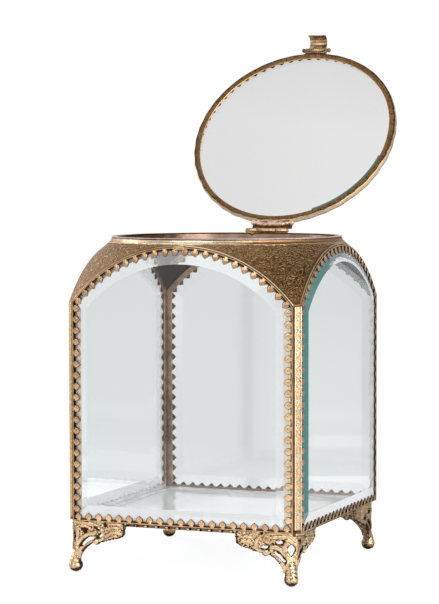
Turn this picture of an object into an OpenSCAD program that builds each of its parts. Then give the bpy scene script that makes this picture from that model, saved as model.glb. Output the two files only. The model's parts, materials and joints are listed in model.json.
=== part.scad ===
// Glass casket box: bevelled panes in toothed brass frames make a square case, a domed canopy
// closes its top down to a round collar, and a round bevelled lid is hinged behind the collar.
// Four pierced cast feet carry it. Millimetres, +Z up, origin on the floor under the middle of
// the case, front towards -Y. The lid is drawn open, leaning back on its hinge's stop.

/* [Case] */
// Outside width and depth of the case over its frames
case_w = 90; // [80:0.5:110]
// Height of the side frames' lower fold above the floor
frame_z = 19.2; // [18.8:0.1:24]
// Height of the side frames from their lower fold to the spring of the arch
side_h = 79.5; // [60:0.5:110]
// Rise of each arch from its spring to its crown
arch_rise = 20.3; // [16:0.1:26]

/* [Toothed frames] */
// Depth of the channel that grips the edge of a pane
frame_depth = 2.5; // [2.2:0.1:3]
// Thickness of the frames' sheet brass
sheet = 0.45; // [0.3:0.05:0.6]
// Width of the plain flange on the inner face of a pane
inner_flange = 1.7; // [1.5:0.1:3]
// Reach of the teeth over the outer face of a pane, from the fold
tooth_len = 3; // [2.4:0.1:3.6]
// Distance from one tooth to the next
tooth_pitch = 4.2; // [3.8:0.1:5.2]
// Width of a tooth's head
tooth_head = 2.9; // [2:0.1:3.2]
// Width of a tooth's neck
tooth_neck = 1.6; // [1:0.1:1.8]
// Length of a tooth's pointed tip
tooth_tip = 1.2; // [0.6:0.1:1.4]
// Width of the fold left between the teeth
fold_w = 0.6; // [0.4:0.05:0.8]

/* [Glass] */
// Thickness of a pane inside its bevel
pane_t = 2.5; // [2.2:0.1:3.2]
// Width of the bevel that shows beside the teeth
bevel_w = 3; // [1.5:0.1:5]
// Clearance around the edge of a pane in its frame
glass_fit = 0.1; // [0.05:0.05:0.2]
// Width of flat glass past the tips of the teeth
land_margin = 0.2; // [0.1:0.1:0.5]

/* [Posts] */
// Width of the stamped band on each corner post
band_w = 2.9; // [2:0.1:3.1]
// Height of the band above the chamfer between two frames
band_rise = 0.25; // [0.1:0.05:0.3]
// Distance from the frames' lower fold up to the end of a post
post_lift = 1.2; // [0.5:0.1:3]

/* [Canopy and collar] */
// Thickness of the domed sheet
canopy_t = 0.8; // [0.6:0.1:1.2]
// Distance that the canopy's edge stands back from the frames' outer face
canopy_setback = 0.2; // [0.1:0.05:0.4]
// Height of the collar's rim above the crown of the arches
collar_rise = 3.2; // [2.8:0.1:5]
// Height of the collar's band
collar_h = 4.2; // [3.8:0.1:6]
// Thickness of the collar's wall
collar_t = 1; // [0.6:0.1:1.6]

/* [Base] */
// Distance that the base frame hangs below the side frames
base_drop = 1.6; // [1:0.1:2]

/* [Lid] */
// Distance that the lid's rim stands inside the collar's outer face
lid_inset = 0.6; // [0.3:0.1:1]
// Thickness of the lid's rim
lid_t = 2.6; // [2.3:0.1:3.2]
// Width of the plain flange on the lid's underside
lid_flange = 2.8; // [2:0.1:3.2]
// Gap between the closed lid and the collar
lid_gap = 0.15; // [0.1:0.05:0.3]
// Angle of the open lid from closed
lid_open = 125.3; // [95:0.1:135]

/* [Hinge] */
// Radius of the hinge's knuckles
knuckle_r = 1.3; // [1.1:0.05:1.6]
// Radius of the hinge's pin
pin_r = 0.5; // [0.4:0.05:0.6]
// Radial clearance of each pin in its moving knuckle
pin_fit = 0.05; // [0.03:0.01:0.1]
// Gap between neighbouring knuckles, and around a turning knuckle
knuckle_gap = 0.25; // [0.15:0.05:0.4]
// Length of the whole barrel
barrel_w = 17.1; // [14:0.1:20]
// Length of the lid's knuckle in the middle of the barrel
lid_knuckle_w = 7.6; // [5:0.1:9]
// Distance of the barrel's middle from the middle of the case, towards the left
barrel_left = 1.5; // [0:0.1:3]
// Width of the lid's leaf
leaf_w = 16.5; // [12:0.1:18]
// Thickness of both leaves
leaf_t = 0.6; // [0.5:0.05:0.7]
// Distance of the hinge's axis behind the case
hinge_back = 1; // [0.8:0.1:1.2]
// Height of the hinge's axis above the collar's rim
hinge_rise = 0.7; // [0.5:0.1:1.2]
// Reach of the case's leaf down over the back frame
leaf_drop = 2.5; // [1.5:0.1:2.8]
// Radius of the pin's heads
pin_head_r = 0.85; // [0.7:0.05:1.1]
// Thickness of the pin's heads
pin_head_t = 0.35; // [0.2:0.05:0.6]
// Reach of the stop heel past the lid's knuckle
heel_len = 0.9; // [0.7:0.1:1.2]
// Thickness of the stop heel
heel_t = 0.6; // [0.4:0.1:0.8]

/* [Latch] */
// Distance of the latch from the middle of the lid, towards the right
latch_right = 0.6; // [0:0.1:2]
// Distance of the latch's pin in front of the lid's rim
latch_out = 1.8; // [1.6:0.1:2.2]
// Height of the latch's pin above the lid's underside
latch_up = 0.9; // [0.6:0.1:1.4]
// Radius of the latch's pin
latch_pin_r = 0.45; // [0.35:0.05:0.5]
// Radius of the hook's knuckle
hook_knuckle_r = 0.95; // [0.8:0.05:1.1]
// Width of the hook
hook_w = 7.3; // [5:0.1:9]
// Thickness of the hook's sheet
hook_t = 0.5; // [0.4:0.05:0.6]
// Inner radius of the hook's curl
hook_r = 2.6; // [2.5:0.05:3]
// Turn of the hook from where it stands open down to latched
hook_turn = 40; // [30:1:60]
// Thickness of the bracket's plate and ears
ear_t = 0.6; // [0.4:0.05:0.8]
// Radius of the ears around the pin
ear_r = 0.9; // [0.8:0.05:1.1]
// Radius of the balls on the latch pin's ends
ball_r = 0.85; // [0.6:0.05:1]
// Width of the keeper on the front frame's crown
keeper_w = 4.1; // [3:0.1:6]
// Height of the keeper
keeper_h = 1.3; // [1:0.1:1.6]
// Distance that the keeper stands out from the front frame
keeper_out = 1; // [0.8:0.1:1.2]

/* [Feet] */
// Length of each wing of a foot, from the corner
wing_len = 21.5; // [16:0.5:26]
// Thickness of a foot's wings
wing_t = 1; // [0.8:0.1:1.4]
// Radius of the toe
toe_r = 2.85; // [2.2:0.05:3.2]
// Radius of the ankle
ankle_r = 1.6; // [1.3:0.05:1.7]
// Height of the ankle, the narrowest place of a foot, above the floor
ankle_z = 6.4; // [5:0.1:7.5]
// Depth of a wing at its outer end
wing_end_h = 3.5; // [2.5:0.1:5]
// Depth of a wing where its bead hangs
wing_root_h = 7.8; // [6.5:0.1:9]
// Radius of the hollow sweep from the bead down to the ankle
sweep_r = 8.9; // [7:0.1:9.5]
// Side of the diamond that pierces the corner
diamond = 2.7; // [2:0.1:3.2]

/* [Hidden] */
$fn = 96;

// Side walls and arches
face = case_w / 2;              // outer plane of the side frames
inner = face - frame_depth;     // inner plane, and half the width between two posts
spring_z = frame_z + side_h;
crown_z = spring_z + arch_rise;
arch_r = (inner * inner + arch_rise * arch_rise) / (2 * arch_rise);
arch_cz = crown_z - arch_r;     // height of the arches' and the dome's centre
dome_r = sqrt(arch_r * arch_r + face * face);
edge_t = frame_depth - 2 * sheet;
land = tooth_len + land_margin; // flat glass under the teeth, from the fold
neck_d = tooth_len - tooth_tip - 0.9;
shoulder_d = tooth_len - tooth_tip;
base_top = frame_z - base_drop + frame_depth;

// Collar and lid; the lid's own places are those of the closed lid
collar_r = inner;
collar_top = crown_z + collar_rise;
lid_r = collar_r - lid_inset;
lid_z = collar_top + lid_gap;
hinge_y = face + hinge_back;
hinge_z = collar_top + hinge_rise;

// Latch
latch_y = -(lid_r + latch_out);
latch_z = lid_z + latch_up;
curl_y = -1;                    // centre of the hook's curl from its pin, when latched
curl_z = -3.1;
lip_gap = 0.3;                  // from the hook's lip to the front frame, when latched
keeper_z = crown_z + 0.4;       // top of the keeper
plate_gap = hook_knuckle_r + 0.35;  // from the pin's axis back to the bracket's plate
stop_gap = 0.1;                 // left at a stop between the turning piece and the fixed one
tail_a = 37;                    // slope of the hook's tail where it meets the plate

// Feet
leg_set = 1.7;                  // leg's middle from the wings' outer faces
leg_drop = 14.2;                // from the top of a wing down to the end of its plate
sweep_drop = 16.8;              // from the top of a wing down to the middle of its sweep
strut_w = 2.3;                  // width of the leg's plate beside the ankle
bead_r = 1.1;                   // bead that hangs at the end of the sweep
rib_top = frame_z - 9.7;        // top of the round leg behind the corner
diamond_z = frame_z - 6.5;      // middle of the diamond

// ---- outlines, in a wall's own plane with its lower edge on the X axis of the floor ----

// Arched outline of a side wall, drawn in by inset
module arch_outline(inset) {
    half = inner - inset;
    intersection() {
        translate([-half, frame_z + inset]) square([2 * half, crown_z]);
        union() {
            translate([0, arch_cz]) circle(r = arch_r - inset, $fn = 180);
            translate([-face, 0]) square([case_w, arch_cz]);
        }
    }
}

// Square outline of the base, drawn in by inset
module base_outline(inset) square(2 * (inner - inset), center = true);

// Corners of one tooth at s along an edge, as [distance along, distance in]
function tooth(s) = [
    [s - tooth_neck / 2, fold_w], [s - tooth_neck / 2, neck_d],
    [s - tooth_head / 2, neck_d], [s - tooth_head / 2, shoulder_d],
    [s, tooth_len],
    [s + tooth_head / 2, shoulder_d], [s + tooth_head / 2, neck_d],
    [s + tooth_neck / 2, neck_d], [s + tooth_neck / 2, fold_w]
];

// Teeth spread evenly between s0 and s1
function teeth(s0, s1) =
    let (n = max(1, round((s1 - s0) / tooth_pitch)))
    [for (i = [0 : n]) each tooth(s0 + (s1 - s0) * i / n)];

// A row of teeth along the straight edge from a towards angle dir, the pane on its left
function straight_row(a, dir, s0, s1) =
    [for (p = teeth(s0, s1)) a + p[0] * [cos(dir), sin(dir)] + p[1] * [-sin(dir), cos(dir)]];

// A row of teeth along an arc of radius r about c from angle a0
function arc_row(c, r, a0, s0, s1) =
    [for (p = teeth(s0, s1))
        let (a = a0 + p[0] / r * 180 / PI) c + (r - p[1]) * [cos(a), sin(a)]];

tooth_end = fold_w + tooth_head / 2 + 0.1;  // first tooth's middle from a bottom corner
tooth_step = tooth_len + tooth_head / 2;    // first tooth's middle above a bottom corner
spring_a = acos(inner / arch_r);
arc_len = arch_r * (180 - 2 * spring_a) * PI / 180;

// Clear opening inside the teeth of a side wall
function arch_opening() = concat(
    [[-inner + fold_w, frame_z + fold_w]],
    straight_row([-inner, frame_z], 0, tooth_end, 2 * inner - tooth_end),
    [[inner - fold_w, frame_z + fold_w]],
    straight_row([inner, frame_z], 90, tooth_step, side_h - tooth_end),
    arc_row([0, arch_cz], arch_r, spring_a, tooth_end, arc_len - tooth_end),
    straight_row([-inner, spring_z], 270, tooth_end, side_h - tooth_step)
);

// Clear opening inside the teeth of the base
function base_opening() = [
    for (k = [0 : 3])
        let (corner = inner * [cos(90 * k - 135), sin(90 * k - 135)] * sqrt(2))
        each concat(
            [corner + fold_w * sqrt(2) * [cos(90 * k + 45), sin(90 * k + 45)]],
            straight_row(corner, 90 * k, k % 2 == 0 ? tooth_end : tooth_step,
                2 * inner - (k % 2 == 0 ? tooth_end : tooth_step)))
];

// ---- toothed channel frames and bevelled panes, outer face up ----

module arch_frame() {
    linear_extrude(sheet) difference() {
        arch_outline(0);
        arch_outline(sheet + inner_flange);
    }
    translate([0, 0, sheet]) linear_extrude(edge_t) difference() {
        arch_outline(0);
        arch_outline(sheet);
    }
    translate([0, 0, frame_depth - sheet]) linear_extrude(sheet) difference() {
        arch_outline(0);
        polygon(arch_opening());
    }
}

module square_frame() {
    linear_extrude(sheet) difference() {
        base_outline(0);
        base_outline(sheet + inner_flange);
    }
    translate([0, 0, sheet]) linear_extrude(edge_t) difference() {
        base_outline(0);
        base_outline(sheet);
    }
    translate([0, 0, frame_depth - sheet]) linear_extrude(sheet) difference() {
        base_outline(0);
        polygon(base_opening());
    }
}

bevel_rise = pane_t - edge_t;
bevel_z = sheet + edge_t;       // where the bevel starts above the frame's inner face

// A ridge along X with sloping sides: y0 to y1 wide at the foot, drawn in by the bevel above
module ridge_x(y0, y1, in0, in1) {
    translate([-case_w, 0, 0]) rotate([90, 0, 90]) linear_extrude(2 * case_w)
        polygon([[y0, bevel_z], [y1, bevel_z],
                 [y1 - in1, bevel_z + bevel_rise], [y0 + in0, bevel_z + bevel_rise]]);
}

module arch_pane() {
    half = inner - land;
    translate([0, 0, sheet]) linear_extrude(edge_t) arch_outline(sheet + glass_fit);
    intersection() {
        rotate([0, 0, 90]) translate([case_w, 0, 0]) ridge_x(-half, half, bevel_w, bevel_w);
        ridge_x(frame_z + land, 2 * crown_z, bevel_w, 0);
        union() {
            translate([0, arch_cz, bevel_z])
                cylinder(r1 = arch_r - land, r2 = arch_r - land - bevel_w, h = bevel_rise,
                    $fn = 180);
            translate([-face, 0, bevel_z]) cube([case_w, arch_cz, bevel_rise]);
        }
    }
}

module square_pane() {
    half = inner - land;
    translate([0, 0, sheet]) linear_extrude(edge_t) base_outline(sheet + glass_fit);
    intersection() {
        ridge_x(-half, half, bevel_w, bevel_w);
        rotate([0, 0, 90]) ridge_x(-half, half, bevel_w, bevel_w);
    }
}

// ---- places ----

// Stands a wall's outline up in the wall that is turned by a from the front
module wall(a) rotate([0, 0, a]) translate([0, -inner, 0]) rotate([90, 0, 0]) children();

// Lays the base's outline down with its outer face below
module floor_pane() translate([0, 0, base_top]) rotate([180, 0, 0]) children();

// Swings the closed lid's pieces open about the hinge
module lid_opened()
    translate([0, hinge_y, hinge_z]) rotate([-lid_open, 0, 0])
    translate([0, -hinge_y, -hinge_z]) children();

// Places the hook: drawn latched about its pin, turned up to where it stands open
module hook_opened()
    translate([latch_right, latch_y, latch_z]) rotate([-hook_turn, 0, 0]) children();

// A cylinder along X from x0 to x1
module rod(r, x0, x1) translate([x0, 0, 0]) rotate([0, 90, 0]) cylinder(r = r, h = x1 - x0);

// ---- sub-parts ----

module glass(a) color("#d5dfe2", 0.45) wall(a) arch_pane();
module frame(a) color("#b08a4a") wall(a) arch_frame();
module base_glass() color("#d5dfe2", 0.45) floor_pane() square_pane();
module base_frame() color("#a88248") floor_pane() square_frame();

// Corner post, drawn for the front right corner and turned by a
module post(a) color("#d8b36a") {
    t = (sqrt(2) * frame_depth - band_w) / 2 / sqrt(2);
    rise = band_rise / sqrt(2);
    rotate([0, 0, a]) translate([inner, -inner, frame_z + post_lift])
        linear_extrude(side_h - post_lift) polygon([
            [0, 0], [0, t + rise - frame_depth],
            [t + rise, t - rise - frame_depth], [frame_depth + rise - t, -t - rise],
            [frame_depth - t - rise, 0]
        ]);
}

module canopy() color("#6b4a2a") intersection() {
    difference() {
        translate([0, 0, arch_cz]) sphere(r = dome_r, $fn = 180);
        translate([0, 0, arch_cz]) sphere(r = dome_r - canopy_t, $fn = 180);
        for (a = [0, 90])
            rotate([0, 0, a]) translate([0, case_w, arch_cz]) rotate([90, 0, 0])
                cylinder(r = arch_r, h = 2 * case_w, $fn = 180);
        cylinder(r = collar_r, h = 2 * crown_z, $fn = 180);
    }
    translate([0, 0, spring_z]) linear_extrude(crown_z) intersection() {
        square(2 * (face - canopy_setback), center = true);
        rotate(45) square(sqrt(2) * (face + inner), center = true);
    }
}

module collar() color("#d9bb80") translate([0, 0, collar_top - collar_h])
    difference() {
        cylinder(r = collar_r, h = collar_h, $fn = 180);
        translate([0, 0, -1]) cylinder(r = collar_r - collar_t, h = collar_h + 2, $fn = 180);
    }

// A slot with rounded ends from a to b
module slot(a, b, r) hull() {
    translate(a) circle(r = r, $fn = 24);
    translate(b) circle(r = r, $fn = 24);
}

// One wing of a foot, its corner edge on the Y axis and the floor on the X axis
module wing_outline() {
    top = frame_z;
    bead = [wing_len * 0.45, top - wing_root_h - 0.2];
    sweep = [sweep_r + strut_w, top - sweep_drop];
    pierce = wing_len / 21.5;       // piercings keep their places along the wing
    difference() {
        union() {
            difference() {
                polygon([
                    [0, top - leg_drop], [sweep[0], top - leg_drop],
                    [bead[0] + 1, top - wing_root_h],
                    [wing_len * 0.63, top - wing_root_h + 0.7],
                    [wing_len - 1.4, top - wing_end_h - 1.5], [wing_len, top - wing_end_h],
                    [wing_len, top], [0, top]
                ]);
                translate(sweep) circle(r = sweep_r);
            }
            translate(bead) circle(r = bead_r, $fn = 32);
        }
        slot([3.9 * pierce, top - 9.2], [7.3 * pierce, top - 6.2], 0.7);
        slot([9.7 * pierce, top - 2.5], [10.9 * pierce, top - 2.9], 0.5);
        translate([11.4 * pierce, top - 5.2]) circle(r = 0.9, $fn = 32);
    }
}

// Cast foot, drawn for the front right corner and turned by a
module foot(a) color("#b58d4c") rotate([0, 0, a]) {
    edge = inner + wing_t;      // outer faces of the wings
    leg = edge - leg_set;       // leg's middle from the middle of the case
    difference() {
        union() {
            translate([edge, -inner, 0]) rotate([90, 0, 0]) linear_extrude(wing_t)
                mirror([1, 0]) wing_outline();
            translate([inner, -edge, 0]) rotate([90, 0, 90]) linear_extrude(wing_t)
                wing_outline();
            translate([leg, -leg, toe_r * 0.88]) sphere(r = toe_r, $fn = 48);
            translate([leg, -leg, toe_r]) cylinder(r1 = toe_r * 0.93, r2 = ankle_r,
                h = ankle_z - toe_r, $fn = 48);
            translate([leg, -leg, ankle_z]) cylinder(r = ankle_r, h = rib_top - ankle_z,
                $fn = 48);
        }
        translate([0, -2 * case_w, -case_w]) cube([2 * case_w, 2 * case_w, case_w]);
        translate([edge, -edge, diamond_z]) rotate([0, 0, -45]) rotate([45, 0, 0])
            cube([8, diamond, diamond], center = true);
    }
}

// ---- hinge ----

barrel_x0 = -barrel_left - barrel_w / 2;
barrel_x1 = barrel_x0 + barrel_w;
lid_x0 = -barrel_left - lid_knuckle_w / 2;
lid_x1 = lid_x0 + lid_knuckle_w;

cheek = 0.1;                    // set-in of the lid leaf's tab and heel from the knuckle's ends
leaf_set = 0.1;                 // from the top of the lid's knuckle down to its leaf
shoulder_gap = 0.3;             // between the lid's leaf and the case's knuckles

module at_hinge() translate([0, hinge_y, hinge_z]) children();

module hinge_case_leaf() color("#a07c42") difference() {
    union() {
        translate([barrel_x0, face, crown_z - leaf_drop])
            cube([barrel_w, leaf_t, hinge_z - crown_z + leaf_drop]);
        at_hinge() rod(knuckle_r, barrel_x0, barrel_x1);
    }
    at_hinge() rod(knuckle_r + knuckle_gap, lid_x0 - knuckle_gap, lid_x1 + knuckle_gap);
    at_hinge() rod(pin_r + pin_fit, barrel_x0 - 1, barrel_x1 + 1);
}

module hinge_pin() color("#caa45c") at_hinge() {
    rod(pin_r, barrel_x0 - pin_head_t, barrel_x1 + pin_head_t);
    rod(pin_head_r, barrel_x0 - pin_head_t, barrel_x0);
    rod(pin_head_r, barrel_x1, barrel_x1 + pin_head_t);
}

module hinge_lid_leaf() color("#c79d55") {
    shoulder = hinge_y - knuckle_r - shoulder_gap;  // leaf's edge beside the lid's knuckle
    leaf_top = hinge_z + knuckle_r - leaf_set;
    difference() {
        union() {
            lid_opened() {
                difference() {
                    translate([-leaf_w / 2, 0, leaf_top - leaf_t])
                        cube([leaf_w, shoulder, leaf_t]);
                    translate([0, 0, lid_z - 1]) cylinder(r = lid_r, h = lid_t + 4, $fn = 180);
                }
                translate([lid_x0 + cheek, shoulder - 1, leaf_top - leaf_t])
                    cube([lid_knuckle_w - 2 * cheek, hinge_y - shoulder + 1, leaf_t]);
            }
            at_hinge() rod(knuckle_r, lid_x0, lid_x1);
            translate([lid_x0 + cheek, face + leaf_t + stop_gap,
                       hinge_z - knuckle_r - heel_len])
                cube([lid_knuckle_w - 2 * cheek, heel_t, knuckle_r + heel_len - pin_r - 0.2]);
        }
        at_hinge() rod(pin_r + pin_fit, lid_x0 - 1, lid_x1 + 1);
    }
}

// ---- lid ----

module lid_frame() color("#c09653") lid_opened() translate([0, 0, lid_z]) {
    difference() {
        cylinder(r = lid_r, h = lid_t - sheet, $fn = 180);
        translate([0, 0, sheet]) cylinder(r = lid_r - sheet, h = lid_t, $fn = 180);
        translate([0, 0, -1]) cylinder(r = lid_r - lid_flange, h = lid_t, $fn = 180);
    }
    translate([0, 0, lid_t - sheet]) linear_extrude(sheet) difference() {
        circle(r = lid_r, $fn = 180);
        polygon(arc_row([0, 0], lid_r, 0, tooth_pitch / 2,
            2 * PI * lid_r - tooth_pitch / 2));
    }
}

module lid_glass() color("#d5dfe2", 0.45) lid_opened() translate([0, 0, lid_z]) {
    translate([0, 0, sheet])
        cylinder(r = lid_r - sheet - glass_fit, h = lid_t - 2 * sheet, $fn = 180);
    translate([0, 0, lid_t - sheet])
        cylinder(r1 = lid_r - land, r2 = lid_r - land - bevel_w, h = bevel_rise, $fn = 180);
}

// ---- latch ----

ear_x = hook_w / 2 + knuckle_gap;       // inner face of an ear from the latch's middle

module latch_bracket() color("#7d5c30") lid_opened() {
    plate_y = latch_y + plate_gap;      // front of the plate behind the hook
    difference() {
        union() {
            translate([latch_right - ear_x, plate_y, lid_z + 0.1])
                cube([2 * ear_x, latch_out, 2 * (latch_up - 0.1)]);
            for (s = [-1, 1])
                translate([latch_right + s * (ear_x + ear_t / 2), latch_y, latch_z]) {
                    rod(ear_r, -ear_t / 2, ear_t / 2);
                    translate([-ear_t / 2, 0, -ear_r * 0.9])
                        cube([ear_t, latch_out + 1, ear_r * 1.8]);
                }
        }
        translate([0, 0, lid_z - 1]) cylinder(r = lid_r, h = lid_t + 2, $fn = 180);
        translate([latch_right, latch_y, latch_z])
            rod(latch_pin_r + pin_fit, -hook_w, hook_w);
    }
}

module latch_pin() color("#6a4726") lid_opened() translate([latch_right, latch_y, latch_z]) {
    ball_x = ear_x + ear_t + ball_r + 0.05;
    rod(latch_pin_r, -ball_x, ball_x);
    for (s = [-1, 1]) translate([s * ball_x, 0, 0]) sphere(r = ball_r, $fn = 32);
}

// The hook's curl ends where its lip just clears the front frame when latched
module latch_hook() color("#c39a55") lid_opened() hook_opened() {
    lip_y = -face - lip_gap - latch_y - curl_y;
    lip_a = 270 - asin(-lip_y / hook_r);
    start_a = atan2(-curl_z, -curl_y);
    difference() {
        union() {
            rod(hook_knuckle_r, -hook_w / 2, hook_w / 2);
            translate([hook_w / 2, curl_y, curl_z]) rotate([90, 0, -90]) mirror([1, 0, 0])
                linear_extrude(hook_w) difference() {
                    circle(r = hook_r + hook_t);
                    circle(r = hook_r);
                    polygon(concat([[0, 0]], [for (i = [0 : 6])
                        let (a = lip_a + (start_a + 360 - lip_a) * i / 6)
                        3 * hook_r * [cos(a), sin(a)]]));
                }
            rotate([tail_a + hook_turn, 0, 0]) translate([-hook_w / 2, 0, 0])
                cube([hook_w, (plate_gap - stop_gap) / cos(tail_a), hook_t]);
        }
        rod(latch_pin_r + pin_fit, -hook_w, hook_w);
    }
}

module latch_keeper() color("#e2c27a")
    translate([-keeper_w / 2, -face - keeper_out, keeper_z - keeper_h])
        cube([keeper_w, keeper_out, keeper_h]);

glass(0);  // front_glass
glass(180);  // back_glass
glass(270);  // left_glass
glass(90);  // right_glass
base_glass();
frame(0);  // front_frame
frame(180);  // back_frame
frame(270);  // left_frame
frame(90);  // right_frame
base_frame();
post(270);  // front_left_post
post(0);  // front_right_post
post(180);  // back_left_post
post(90);  // back_right_post
canopy();
collar();
foot(270);  // front_left_foot
foot(0);  // front_right_foot
foot(180);  // back_left_foot
foot(90);  // back_right_foot
hinge_case_leaf();
hinge_pin();
latch_keeper();
lid_glass();
lid_frame();
hinge_lid_leaf();
latch_bracket();
latch_pin();
latch_hook();
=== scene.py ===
# Glass casket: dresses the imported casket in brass, bevelled glass and plain studio light.
import json
import math

import bmesh
import bpy
import numpy as np
from mathutils import Matrix, Vector


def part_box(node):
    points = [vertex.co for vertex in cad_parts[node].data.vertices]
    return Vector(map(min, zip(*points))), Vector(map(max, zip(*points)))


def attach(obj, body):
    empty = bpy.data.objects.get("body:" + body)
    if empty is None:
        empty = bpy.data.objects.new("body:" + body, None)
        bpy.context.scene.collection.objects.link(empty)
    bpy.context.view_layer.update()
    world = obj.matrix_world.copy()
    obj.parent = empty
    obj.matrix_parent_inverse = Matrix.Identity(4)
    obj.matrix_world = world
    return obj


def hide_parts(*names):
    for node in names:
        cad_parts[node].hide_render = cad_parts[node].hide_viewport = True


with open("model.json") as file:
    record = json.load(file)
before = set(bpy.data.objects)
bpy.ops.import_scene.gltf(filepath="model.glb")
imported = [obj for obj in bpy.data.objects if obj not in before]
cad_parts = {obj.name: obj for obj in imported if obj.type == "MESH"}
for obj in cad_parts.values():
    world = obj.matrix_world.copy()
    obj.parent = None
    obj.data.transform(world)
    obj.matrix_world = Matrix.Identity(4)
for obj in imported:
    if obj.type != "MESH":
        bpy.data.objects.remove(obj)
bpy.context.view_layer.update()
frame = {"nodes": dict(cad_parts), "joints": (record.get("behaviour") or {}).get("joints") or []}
scene = bpy.context.scene
mm = 0.001
walls = {"front": 0, "right": 90, "back": 180, "left": 270}  # turn of each side, in degrees
corners = {"front_right": 0, "back_right": 90, "back_left": 180, "front_left": 270}


def lowHigh(node):  # a CAD node's lowest and highest corners, in millimetres
    low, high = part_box(node)
    return np.array(low) / mm, np.array(high) / mm


def linked(name, data):  # a new object in the scene
    made = bpy.data.objects.new(name, data)
    scene.collection.objects.link(made)
    return made


def clamp(value):
    return min(max(value, 0), 1)


# The camera looks from a little to the right of the front, almost level.
view = {
    "place": (0.305793, -0.763265, 0.143876),
    "azimuth": 22.029,  # degrees to the right of the front
    "pitch": 3.246,  # degrees down
    "roll": -0.119,
    "lens": 131.29,
    "sensor": 36,
    "nearest": 0.01,
}


def makeCamera():
    az, pitch, roll = (math.radians(view[k]) for k in ("azimuth", "pitch", "roll"))
    ahead = Vector((-math.sin(az) * math.cos(pitch), math.cos(az) * math.cos(pitch), -math.sin(pitch)))
    right = Vector((math.cos(az), math.sin(az), 0))
    up = right.cross(ahead)
    right, up = right * math.cos(roll) + up * math.sin(roll), up * math.cos(roll) - right * math.sin(roll)
    data = bpy.data.cameras.new("camera")
    data.lens, data.sensor_width, data.clip_start = view["lens"], view["sensor"], view["nearest"]
    scene.camera = linked("camera", data)
    turned = Matrix((right, up, -ahead)).transposed().to_4x4()
    scene.camera.matrix_world = Matrix.Translation(view["place"]) @ turned


makeCamera()
print("camera set")

# Sizes that the CAD gives, in millimetres.
frameLow, frameHigh = lowHigh("front_frame")
faceY = -frameLow[1]  # outer face of the walls
inner = frameHigh[0]  # half the width of a wall between two posts
foldZ, crownZ = frameLow[2], frameHigh[2]
springZ = lowHigh("front_left_post")[1][2]
archRise = crownZ - springZ
archR = (inner**2 + archRise**2) / (2 * archRise)
archZ = crownZ - archR
domeR = math.hypot(archR, faceY)  # the arches and the canopy lie on one sphere
baseTop = lowHigh("base_frame")[1][2]
collarLow, collarHigh = lowHigh("collar")
collarR, rimZ = collarHigh[0], collarHigh[2]
hinge = np.array([0, frame["joints"][0]["pos_m"][1], frame["joints"][0]["pos_m"][2]]) / mm
lidTurn = math.radians(frame["joints"][0]["range_deg"][1])
lidR = lowHigh("lid_frame")[1][0]
closedGap = 0.15
lidZ = rimZ + closedGap  # underside of the closed lid


def addNode(tree, kind, inputs=None, **settings):  # an input is a value, or the socket that feeds it
    node = tree.nodes.new(kind)
    for key, value in settings.items():
        setattr(node, key, value)
    for key, value in (inputs or {}).items():
        if isinstance(value, bpy.types.NodeSocket):
            tree.links.new(value, node.inputs[key])
        else:
            node.inputs[key].default_value = value
    return node


def opaque(color):
    return color if isinstance(color, bpy.types.NodeSocket) else (*color, 1)


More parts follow.
